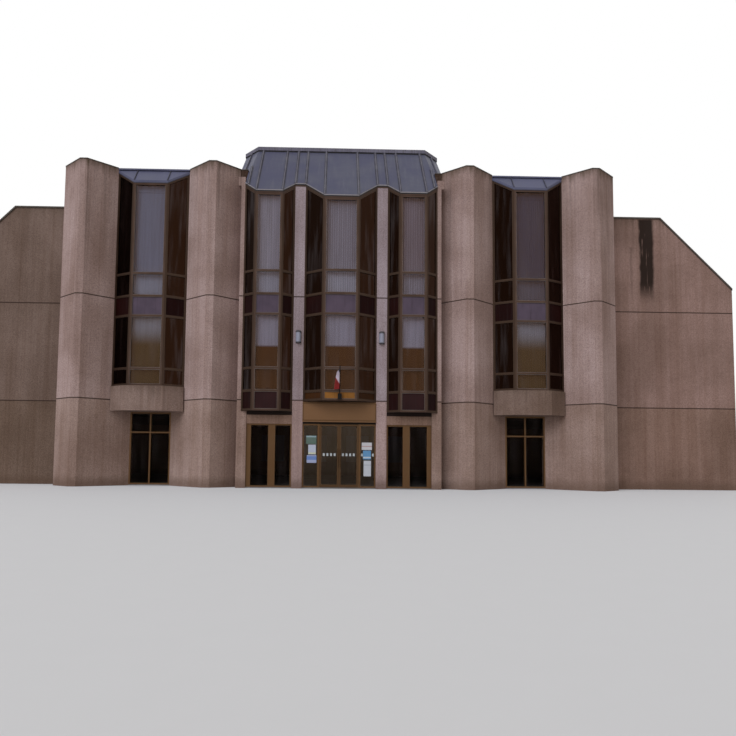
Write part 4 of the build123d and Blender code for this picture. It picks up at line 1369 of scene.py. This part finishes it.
@dataclass
class RoofSeams:
    """The standing seams, the eave trims and the painted shadow strip under the coping of the steep roof."""

    eave: float = 11.82
    slope: float = 1.3
    rim: float = 14.05
    width: float = 0.032
    height: float = 0.055
    foot_width: float = 0.115
    foot_height: float = 0.014
    front_starts: tuple[tuple[float, float], ...] = (
        (0.65, -0.5), (1.4, 0.0), (1.8, 0.0), (2.27, -0.32), (3.28, -0.32))
    edge_start: tuple[float, float] = (3.62, -0.09)
    edge_top: float = 0.84
    block_top: float = 12.64
    rear: float = 13.75
    deck: float = 12.1
    side_pitch: float = 0.62
    rear_count: int = 11
    fin: float = 3.75
    cant_slope: float = 1.6
    flank: float = 4.29
    flank_slope: float = 12.0
    slot_low: float = 0.085
    slot_high: float = 0.004
    slot_out: float = 0.006
    cant_rise: float = 0.8
    strip_rounding: float = 0.003

    def corner(self, height: float) -> tuple[tuple[float, float], tuple[float, float]]:
        """Return the two corners of the roof's right front cant at one height."""
        rise = height - self.eave
        cant = self.fin - rise / self.cant_slope * math.sqrt(2)
        front = rise / self.slope
        side = self.flank - rise / self.flank_slope
        return (cant + front, front), (side, side - cant)

    def build(self) -> None:
        """Make the seams, with pale caps as painted highlight and wide feet as painted shade, the eave trims
        and the painted shadow strip in the slot.
        """
        # The wide feet under the seams stand for the shade beside each seam: painted shade.
        feet = replace(self, width=self.foot_width, height=self.foot_height)
        for name, part, finish in (("roof_seams", self, SEAM_HIGHLIGHT), ("roof_seam_shade_feet", feet, SEAM)):
            seams = part.front_seams() + part.canted_seams() + part.flank_seams() + part.rear_seams()
            dress(Bench.join(name, seams), finish)
        self.build_eave()
        self.build_slot()

    def on_front(self, x: float, y: float) -> Vector:
        """Return a point on the front slope."""
        return place(x, y, self.eave + self.slope * y)

    def front_seams(self) -> list[Piece]:
        """Return the seams that run up the front slope."""
        up = Vector((0, -self.slope, 1)).normalized()
        top = (self.rim - self.eave) / self.slope
        found = []
        lines = [(x, y, top) for x, y in self.front_starts]
        lines.append((*self.edge_start, self.edge_top))
        for x, low, high in lines:
            for side in (-1, 1):
                start, end = self.on_front(side * x, low), self.on_front(side * x, high)
                found.append(Bench.bar("seam", start, end, self.width, self.height, up))
        return found

    def canted_seams(self) -> list[Piece]:
        """Return the seam in the middle of each of the four canted faces."""
        found = []
        for side in (-1, 1):
            for back in (False, True):
                foot, head = [self.canted_middle(height, side, back)
                              for height in (self.deck if back else self.block_top, self.rim)]
                out = Vector((side, 1 if back else -1, self.cant_rise)).normalized()
                found.append(Bench.bar("seam", foot, head, self.width, self.height, out))
        return found

    def canted_middle(self, height: float, side: int, back: bool) -> Vector:
        """Return the middle of one canted face at one height."""
        (front_x, front_y), (side_x, side_y) = self.corner(height)
        x, y = (front_x + side_x) / 2, (front_y + side_y) / 2
        return place(side * x, self.rear - y if back else y, height)

    def flank_seams(self) -> list[Piece]:
        """Return the seams on the two side slopes."""
        low_x = self.corner(self.deck)[1][0]
        top_x, top_y = self.corner(self.rim)[1]
        up = Vector((self.flank_slope, 0, 1)).normalized()
        first = place(low_x, top_y + self.side_pitch, self.deck)
        last = place(top_x, top_y + self.side_pitch, self.rim)
        count = int((self.rear - 2 * top_y) / self.side_pitch)
        row = Bench.bar("seam", first, last, self.width, self.height, up)
        Bench.repeat(row, count, Vector((0, self.side_pitch, 0)))
        return [row, Bench.mirrored(row, "seam")]

    def rear_seams(self) -> list[Piece]:
        """Return the seams on the rear slope."""
        up = Vector((0, self.slope, 1)).normalized()
        low_y = (self.deck - self.eave) / self.slope
        top_y = (self.rim - self.eave) / self.slope
        left = -(self.rear_count - 1) / 2 * self.side_pitch
        row = Bench.bar("seam", place(left, self.rear - low_y, self.deck),
                        place(left, self.rear - top_y, self.rim), self.width, self.height, up)
        return [Bench.repeat(row, self.rear_count, Vector((self.side_pitch, 0, 0)))]

    def eave_line(self) -> list[tuple[float, float]]:
        """Return the plan of the eave from the left fin to the right fin."""
        right = [*self.front_starts, (self.fin, 0.0)]
        return [(-x, y) for x, y in reversed(right)] + right

    def build_eave(self) -> None:
        """Make the light drip edge, the dark strip of painted shadow under it, and the cover strip above the
        frames, which is lighter on its front by painted light.
        """
        for name, low, high, out, finish in (("eave_strip", -0.118, -0.068, 0.008, BAY_BRONZE),
                                             ("eave_shadow", -0.068, -0.026, 0.003, PAINTED_SHADOW),
                                             ("eave_roll", -0.026, 0.014, 0.020, TRIM)):
            pairs = []
            for x, y in self.eave_line():
                edge = self.eave + self.slope * y
                pairs.append((place(x, y, edge + low), place(x, y, edge + high)))
            dress(Bench.band(name, pairs, out, 1.0, self.strip_rounding), finish)

    def build_slot(self) -> None:
        """Make the near black strip of painted shadow in the slot between the roof and its coping."""
        low, high = self.rim - self.slot_low, self.rim - self.slot_high
        pairs = [(place(*foot, low), place(*head, high))
                 for foot, head in zip(self.ring(low), self.ring(high))]
        dress(Bench.band("coping_slot", [*pairs, pairs[0]], self.slot_out, 1.0), PAINTED_SHADOW)

    def ring(self, height: float) -> list[tuple[float, float]]:
        """Return all corners of the roof at one height."""
        front, side = self.corner(height)
        right = [front, side, (side[0], self.rear - side[1]), (front[0], self.rear - front[1])]
        return right + [(-x, y) for x, y in reversed(right)]


@dataclass
class OuterBayRoofs:
    """Seams and edge trims on the small roofs of the outer bays."""

    plan: BayPlan
    top: float = 12.56
    width: float = 0.03
    height: float = 0.035
    above_frame: float = 0.12
    drip_top: float = 0.09
    drip_out: float = 0.012
    drip_rounding: float = 0.003

    def build(self) -> None:
        """Make the seams on one small roof, and the drip along its eave."""
        lift = self.plan.eave + self.above_frame
        middle = (self.plan.left + self.plan.right) / 2
        up = Vector((0, -self.plan.slope, 1)).normalized()
        seams = []
        head_y = (self.top - lift) / self.plan.slope
        for x in (middle - self.plan.front_half, middle + self.plan.front_half):
            low = place(x, self.plan.front_y, lift + self.plan.slope * self.plan.front_y)
            seams.append(Bench.bar("seam", low, place(x, head_y, self.top), self.width, self.height, up))
        dress(Bench.join(f"{self.plan.name}_roof_seams", seams), SEAM)
        pairs = []
        facets = self.plan.facets()
        for x, y in [facets[0].start, *[facet.end for facet in facets]]:
            edge = lift + self.plan.slope * y
            pairs.append((place(x, y, edge - self.above_frame), place(x, y, edge - self.drip_top)))
        drip = Bench.band(f"{self.plan.name}_drip", pairs, self.drip_out, 1.0, self.drip_rounding)
        dress(drip, SEAM)


@dataclass
class ParapetCopings:
    """The thin dark coping on the tops of the piers, the parapets and the rear wall."""

    top: float = 12.62
    height: float = 0.035
    lip: float = 0.02
    wall: float = 0.25
    depth: float = 0.32
    side: float = 10.995
    front: float = 0.64
    rear: float = 14.0
    flank_depth: float = 0.3
    rounding: float = 0.004
    inner_pier: tuple[tuple[float, float], ...] = (
        (3.745, 0.6144), (4.005, 0.6144), (4.865, -0.065), (5.155, -0.065), (6.085, 0.6697))
    outer_pier: tuple[tuple[float, float], ...] = (
        (8.91, 0.6697), (9.84, -0.065), (10.13, -0.065), (10.995, 0.61835))

    def build(self) -> None:
        """Make the coping of each pier and of the walls behind."""
        self.build_folded("inner_pier_coping", self.inner_pier)
        self.build_folded("outer_pier_coping", self.outer_pier)
        outer, inner = self.side + self.lip, self.side - self.wall
        ends = ((self.front, self.front + self.flank_depth), (self.rear + self.lip, self.rear - self.wall))
        right = [(place(outer, y, self.top), place(inner, v, self.top)) for y, v in ends]
        left = [(place(-outer, y, self.top), place(-inner, v, self.top)) for y, v in reversed(ends)]
        flank = right + left
        dress(Bench.band("rear_coping", flank, self.height, 1.0, self.rounding), DARK_COPING)

    def build_folded(self, name: str, line: Sequence[tuple[float, float]]) -> None:
        """Make the coping of one pier and of its mirror image."""
        pairs = [(place(x, y - self.lip, self.top), place(x, y + self.depth, self.top)) for x, y in line]
        piece = Bench.band(name, pairs, self.height, 1.0, self.rounding)
        dress_both(piece, f"{name}_left", DARK_COPING)


@dataclass
class WallLightTrim:
    """The dark foot ring and the domed cap of each wall light."""

    x: float = 1.6
    face: float = -0.015
    radius: float = 0.106
    bottom: float = 5.56
    ends: tuple[Point, ...] = ((-0.02, 0.03, 0.015), (0.35, 0.47, 0.055))
    sides: int = 32
    back: float = 0.012

    def build(self) -> None:
        """Make the ends of one light, and mirror them."""
        parts = []
        for low, high, rounding in self.ends:
            start = place(self.x, self.face, self.bottom + low)
            end = place(self.x, self.face, self.bottom + high)
            ring = Bench.tube("lamp_end", start, end, self.radius, self.sides, rounding)
            parts.append(Bench.cut(ring, place(0, self.face + self.back, 0), Vector((0, 1, 0))))
        dress_both(Bench.join("lamp_ends_right", parts), "lamp_ends_left", LAMP_DARK)


@dataclass
class FlagSheet:
    """The limp flag, hung in close folds beside its short pole."""

    flat_width: float = 0.5
    flat_height: float = 0.8
    folds: float = 5.0
    top_width: float = 0.06
    bottom_width: float = 0.195
    taper: float = 0.55
    sag: float = 0.06
    hang_gap: float = 0.004
    taken_up: float = 0.07
    columns: int = 120
    rows: int = 36
    thickness: float = 0.0008
    wander: float = 0.15

    def build(self) -> None:
        """Fold a grid so that its arc length stays that of the flat cloth."""
        low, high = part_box("flag")
        Bench.begin()
        bpy.ops.mesh.primitive_grid_add(x_subdivisions=self.columns, y_subdivisions=self.rows, size=1.0)
        cloth = Bench.take("flag_sheet")
        middle_y = (low.y + high.y) / 2
        for vertex in cloth.data.vertices:
            across, down = vertex.co.x + 0.5, 0.5 - vertex.co.y
            width = self.top_width + (self.bottom_width - self.top_width) * down ** self.taper
            swing = math.sqrt(self.flat_width ** 2 - width ** 2) / (4 * self.folds)
            wave = math.sin(2 * math.pi * (self.folds * across + self.wander * math.sin(3 * down)))
            drop = self.sag * across * (1 - 0.5 * down)
            vertex.co = Vector((high.x - width * across, middle_y + swing * wave,
                                high.z - self.hang_gap - drop - (self.flat_height - self.taken_up) * down))
        Bench.thicken(cloth, self.thickness, 0.0)
        Bench.only(cloth)
        bpy.ops.object.shade_smooth()
        dress(cloth, FLAG_CLOTH)
        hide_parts("flag")


@dataclass(frozen=True)
class Notice:
    """One sheet of paper on a pane."""

    name: str
    left: float
    right: float
    low: float
    high: float
    paper: Paper


@dataclass
class EntranceTrim:
    """Notices and safety marks on the glass of the centre entrance."""

    glass_front: float = 0.098
    door_glass: float = 0.071
    notices: tuple[Notice, ...] = (
        Notice("left_upper", -1.255, -0.865, 1.69, 2.01,
               Paper("green_sheet", (0.060, 0.105, 0.080), (0.22, 0.30, 0.32), 1.94, 1.99)),
        Notice("left_lower", -1.17, -0.88, 1.29, 1.66,
               Paper("pale_sheet", (0.42, 0.44, 0.52), (0.50, 0.50, 0.30), 1.31, 1.36)),
        Notice("left_foot", -1.225, -0.855, 0.97, 1.26,
               Paper("blue_sheet", (0.30, 0.33, 0.48), (0.10, 0.18, 0.42), 1.08, 1.22)),
        Notice("right_upper", 0.865, 1.255, 1.48, 1.76,
               Paper("white_sheet", (0.50, 0.48, 0.49), (0.36, 0.20, 0.19), 1.60, 1.63)),
        Notice("right_middle", 0.92, 1.22, 1.12, 1.455,
               Paper("deep_blue_sheet", (0.07, 0.22, 0.40), (0.40, 0.46, 0.52), 1.16, 1.22)),
        Notice("right_lower", 0.945, 1.225, 0.48, 1.07,
               Paper("long_sheet", (0.46, 0.47, 0.50), (0.30, 0.32, 0.36), 0.89, 0.92)))
    mark_low: float = 1.235
    mark_size: Point = (0.072, 0.0015, 0.105)
    mark_step: float = 0.138
    side_step: float = 0.42
    film_gap: float = 0.001
    film_rounding: float = 0.0004
    sheet_thickness: float = 0.0006
    curl: float = 0.09

    def build(self) -> None:
        """Make the sheets and the marks."""
        for notice in self.notices:
            self.build_notice(notice)
        self.build_marks("sidelight_marks", self.glass_front, 0.838, 2, self.side_step, ROOT)
        self.build_marks("door_marks_right", self.door_glass, 0.115, 4, self.mark_step, "door_right")
        self.build_marks("door_marks_left", self.door_glass, -0.612, 4, self.mark_step, "door_left")

    def build_notice(self, notice: Notice) -> None:
        """Make one sheet, curled a little at its corners."""
        corners = upright(notice.left, notice.right, notice.low, notice.high, self.glass_front)
        sheet = Bench.quad(f"notice_{notice.name}", corners)
        with Bench.editing(sheet):
            bpy.ops.mesh.subdivide(number_cuts=7)
        middle = Vector(((notice.left + notice.right) / 2, 0, (notice.low + notice.high) / 2))
        for vertex in sheet.data.vertices:
            away = abs(vertex.co.x - middle.x) + abs(vertex.co.z - middle.z) * 0.6
            vertex.co.y -= self.curl * away ** 3
        Bench.thicken(sheet, self.sheet_thickness, 0.0)
        Bench.only(sheet)
        bpy.ops.object.shade_smooth_by_angle(angle=math.radians(30))
        dress(sheet, notice.paper)

    def build_marks(self, name: str, face: float, left: float, count: int, step: float, body: str) -> None:
        """Make a row of plain squares on the glass of one pane.

        Args:
            name: The piece's name.
            face: How far behind the columns the glass is.
            left: Where the row starts.
            count: How many squares it has.
            step: How far apart they are.
            body: The body that carries the pane.
        """
        corner = place(left, face - self.film_gap, self.mark_low)
        mark = Bench.block(name, corner, corner + Vector(self.mark_size), self.film_rounding)
        Bench.repeat(mark, count, Vector((step, 0, 0)))
        dress(mark, WHITE_FILM, body)


@dataclass
class FasciaTrim:
    """The raised edge of the bare fascia."""

    half: float = 1.39
    low: float = 2.575
    high: float = 3.245
    face: float = -0.02
    width: float = 0.03
    thickness: float = 0.008
    rounding: float = 0.002

    def build(self) -> None:
        """Make the edge strip round the fascia."""
        corners = upright(-self.half, self.half, self.low, self.high, self.face - self.thickness)
        edge = Bench.ring("fascia_edge", corners, self.width, self.thickness)
        dress(Bench.soften(edge, self.rounding), GOLD)


@dataclass
class RearWindows:
    """Sills and blinds of the rear and end windows."""

    storeys: tuple[tuple[float, float], ...] = ((0.9, 2.44), (3.86, 6.59), (7.37, 10.6))
    pitch: float = 2.6
    columns: int = 8
    end_pitch: float = 2.9
    end_columns: int = 4
    width: float = 1.3
    rear: float = 14.0
    end: float = 16.37
    end_middle: float = 7.75
    vane_pitch: float = 0.115
    vane_half: float = 0.064
    vane_inset: float = 0.31
    vane_start: float = 0.02
    vane_reach: float = 0.16
    vane_below: float = 0.03
    vane_above: float = 0.05
    rear_heading: float = 175.0
    end_heading: float = 85.0
    sill_gap: float = 0.004
    sill_back: float = 0.1
    sill_out: float = 0.035
    sill_low: float = 0.002
    sill_high: float = 0.03
    sill_rounding: float = 0.006

    def build(self) -> None:
        """Make the rear rows, then the end rows and their mirror images."""
        first = -(self.columns - 1) / 2 * self.pitch
        sills, vanes = self.rows(True, first, Vector((self.pitch, 0, 0)), self.columns, self.storeys)
        dress(Bench.join("rear_sills", sills), COPING)
        dress(Bench.join("rear_blinds", vanes), PLAIN_BLIND)
        first = self.end_middle - (self.end_columns - 1) / 2 * self.end_pitch
        stride = Vector((0, self.end_pitch, 0))
        sills, vanes = self.rows(False, first, stride, self.end_columns, self.storeys[:2])
        dress_both(Bench.join("end_sills_right", sills), "end_sills_left", COPING)
        dress_both(Bench.join("end_blinds_right", vanes), "end_blinds_left", PLAIN_BLIND)

    def rows(self, rear: bool, first: float, step: Vector, count: int,
             storeys: Sequence[tuple[float, float]]) -> tuple[list[Piece], list[Piece]]:
        """Return the sills and the vanes of one wall.

        Args:
            rear: Whether it is the rear wall, and not the right end wall.
            first: The middle of the first window along the wall.
            step: From one window to the next.
            count: How many windows a storey has.
            storeys: The heights of each storey's sill and head.

        Returns:
            One piece for each storey, of either kind.
        """
        sills, vanes = [], []
        for low, high in storeys:
            sills.append(Bench.repeat(self.sill(rear, first, low), count, step))
            vanes.append(Bench.repeat(self.vanes(rear, first, low, high), count, step))
        return sills, vanes

    def spot(self, rear: bool, across: float, out: float, z: float) -> Vector:
        """Return a point by its place along a wall, its distance out from it, and its height."""
        return place(across, self.rear + out, z) if rear else place(self.end + out, across, z)

    def sill(self, rear: bool, centre: float, low: float) -> Piece:
        """Return one sill."""
        half = self.width / 2 - self.sill_gap
        return Bench.block("sill", self.spot(rear, centre - half, -self.sill_back, low + self.sill_low),
                           self.spot(rear, centre + half, self.sill_out, low + self.sill_high),
                           self.sill_rounding)

    def vanes(self, rear: bool, centre: float, low: float, high: float) -> Piece:
        """Return the vanes behind one window.

        Args:
            rear: Whether it is in the rear wall.
            centre: The middle of the window along the wall.
            low: The height of the sill.
            high: The height of the head.

        Returns:
            The joined vanes.
        """
        start = self.spot(rear, centre - self.width / 2 - self.vane_start, -self.vane_inset, 0)
        along, heading = ((Vector((1, 0, 0)), self.rear_heading) if rear
                          else (Vector((0, 1, 0)), self.end_heading))
        vane = Bench.vane(self.vane_half, low - self.vane_below, high + self.vane_above)
        vane.matrix_world = Matrix.Translation(start) @ Matrix.Rotation(math.radians(heading), 4, "Z")
        Bench.settle(vane)
        count = int((self.width + self.vane_reach) / self.vane_pitch)
        return Bench.repeat(vane, count, along * self.vane_pitch)


@dataclass
class WingRoofSeams:
    """Standing seams that run down the roofs of the wings."""

    pitch: float = 0.6
    first: float = 2.2
    last: float = 13.75
    width: float = 0.03
    height: float = 0.035
    inner: float = 10.745
    wall_bend: float = 13.37
    wall_top: float = 11.31
    below_top: float = 0.45
    edge: float = 16.12

    def build(self) -> None:
        """Make the seams of the right wing, and mirror them."""
        bend = self.wall_bend - self.below_top * math.tan(math.pi / 8)
        level = self.wall_top - self.below_top
        count = int((self.last - self.first) / self.pitch)
        start, fold, end = (place(x, self.first, z) for x, z in
                            ((self.inner, level), (bend, level), (self.edge, level - self.edge + bend)))
        flat = Bench.bar("seam", start, fold, self.width, self.height, Vector((0, 0, 1)))
        raked = Bench.bar("seam", fold, end, self.width, self.height, Vector((1, 0, 1)).normalized())
        row = Bench.join("wing_seams_right", [flat, raked])
        Bench.repeat(row, count, Vector((0, self.pitch, 0)))
        dress_both(row, "wing_seams_left", SEAM)


@dataclass
class Studio:
    """The floor, the light and the background."""

    sun_strength: float = 2.0
    sky_strength: float = 0.45
    sky_colour: Colour = (1.0, 0.93, 0.85)
    sun_colour: Colour = (0.91, 0.99, 1.13)
    sun_from: Point = (-0.50, -0.62, 0.60)
    sun_degrees: float = 50.0
    sun_place: Point = (-30.0, -40.0, 40.0)
    floor_size: float = 400.0
    floor_level: float = -0.002

    def build(self) -> None:
        """Make the floor, the sun and the sky."""
        Bench.begin()
        bpy.ops.mesh.primitive_plane_add(size=self.floor_size, location=(0.0, 0.0, self.floor_level))
        floor = Bench.take("studio_floor")
        Bench.settle(floor)
        floor.data.materials.append(StageFloor("pale_floor").material())
        bpy.ops.object.light_add(type="SUN", location=self.sun_place)
        sun = bpy.context.view_layer.objects.active
        sun.name = "key_light"
        sun.data.energy = self.sun_strength
        sun.data.color = self.sun_colour
        sun.data.angle = math.radians(self.sun_degrees)
        sun.visible_glossy = False
        sun.rotation_euler = Vector(self.sun_from).to_track_quat("Z", "Y").to_euler()
        self.build_sky()

    def build_sky(self) -> None:
        """Light the scene from all round, and show plain white behind it."""
        world = bpy.data.worlds.new("studio_sky")
        bpy.context.scene.world = world
        world.use_nodes = True
        world.node_tree.nodes.clear()
        graph = Graph(world.node_tree)
        output = graph.add("ShaderNodeOutputWorld")
        path = graph.add("ShaderNodeLightPath")
        seen = graph.maths("MAXIMUM", path.outputs["Is Camera Ray"], path.outputs["Is Glossy Ray"])
        seen = graph.maths("MAXIMUM", seen, path.outputs["Is Transmission Ray"])
        soft = graph.add("ShaderNodeBackground", {0: paint(self.sky_colour), 1: self.sky_strength})
        white = graph.add("ShaderNodeBackground", {0: (1.0, 1.0, 1.0, 1.0), 1: 1.0})
        both = graph.add("ShaderNodeMixShader", {0: seen, 1: soft.outputs[0], 2: white.outputs[0]})
        world.node_tree.links.new(both.outputs[0], output.inputs["Surface"])


@dataclass
class PhotoCamera:
    """The camera that was fitted to the photograph, for a frame 736 pixels square."""

    frame_width: float = 736.0
    focal: float = 572.76765
    centre_x: float = 344.76497
    centre_y: float = 420.86892
    position: Point = (-0.20949, -21.75183, 1.23863)
    yaw: float = 0.0191951
    pitch: float = 0.0613578
    roll: float = 0.0104345
    sensor: float = 36.0
    clip_end: float = 600.0

    def build(self) -> None:
        """Place the camera and make it the scene's own."""
        Bench.begin()
        bpy.ops.object.camera_add()
        camera = bpy.context.view_layer.objects.active
        camera.name = "photo_camera"
        camera.data.sensor_width = self.sensor
        camera.data.lens = self.focal * self.sensor / self.frame_width
        camera.data.shift_x = (self.frame_width / 2 - self.centre_x) / self.frame_width
        camera.data.shift_y = (self.centre_y - self.frame_width / 2) / self.frame_width
        camera.data.clip_end = self.clip_end
        ahead = Vector((math.sin(self.yaw) * math.cos(self.pitch),
                        math.cos(self.yaw) * math.cos(self.pitch), math.sin(self.pitch)))
        right = Vector((math.cos(self.yaw), -math.sin(self.yaw), 0))
        up = right.cross(ahead)
        leaned_right = right * math.cos(self.roll) + up * math.sin(self.roll)
        leaned_up = up * math.cos(self.roll) - right * math.sin(self.roll)
        turn = Matrix((leaned_right, leaned_up, -ahead)).transposed().to_4x4()
        camera.matrix_world = Matrix.Translation(place(*self.position)) @ turn
        bpy.context.scene.camera = camera


def main() -> None:
    """Build the looks piece by piece."""
    logging.basicConfig(level=logging.INFO, format="%(message)s")
    bpy.context.scene.view_settings.view_transform = "Standard"
    CarriedNodes().build()
    for plan, cloth in ((LEFT_BAY, LEFT_BLIND), (CENTRE_BAY, MIDDLE_BLIND), (RIGHT_BAY, RIGHT_BLIND)):
        BayGlazing(plan, ((Storey.FIRST, LOWER_BLIND), (Storey.SECOND, cloth))).build()
    for plan, cloth in ((OUTER_LEFT, FAR_LEFT_BLIND), (OUTER_RIGHT, FAR_RIGHT_BLIND)):
        BayGlazing(plan, ((Storey.OUTER_FIRST, OUTER_LOWER_BLIND), (Storey.OUTER_SECOND, cloth))).build()
        OuterBayHeads(plan).build()
        OuterBayRoofs(plan).build()
    for part in (RoofSeams(), ParapetCopings(), WallLightTrim(), FlagSheet(), EntranceTrim(),
                 FasciaTrim(), RearWindows(), WingRoofSeams(), Studio(), PhotoCamera()):
        part.build()


if __name__ == "__main__":
    main()
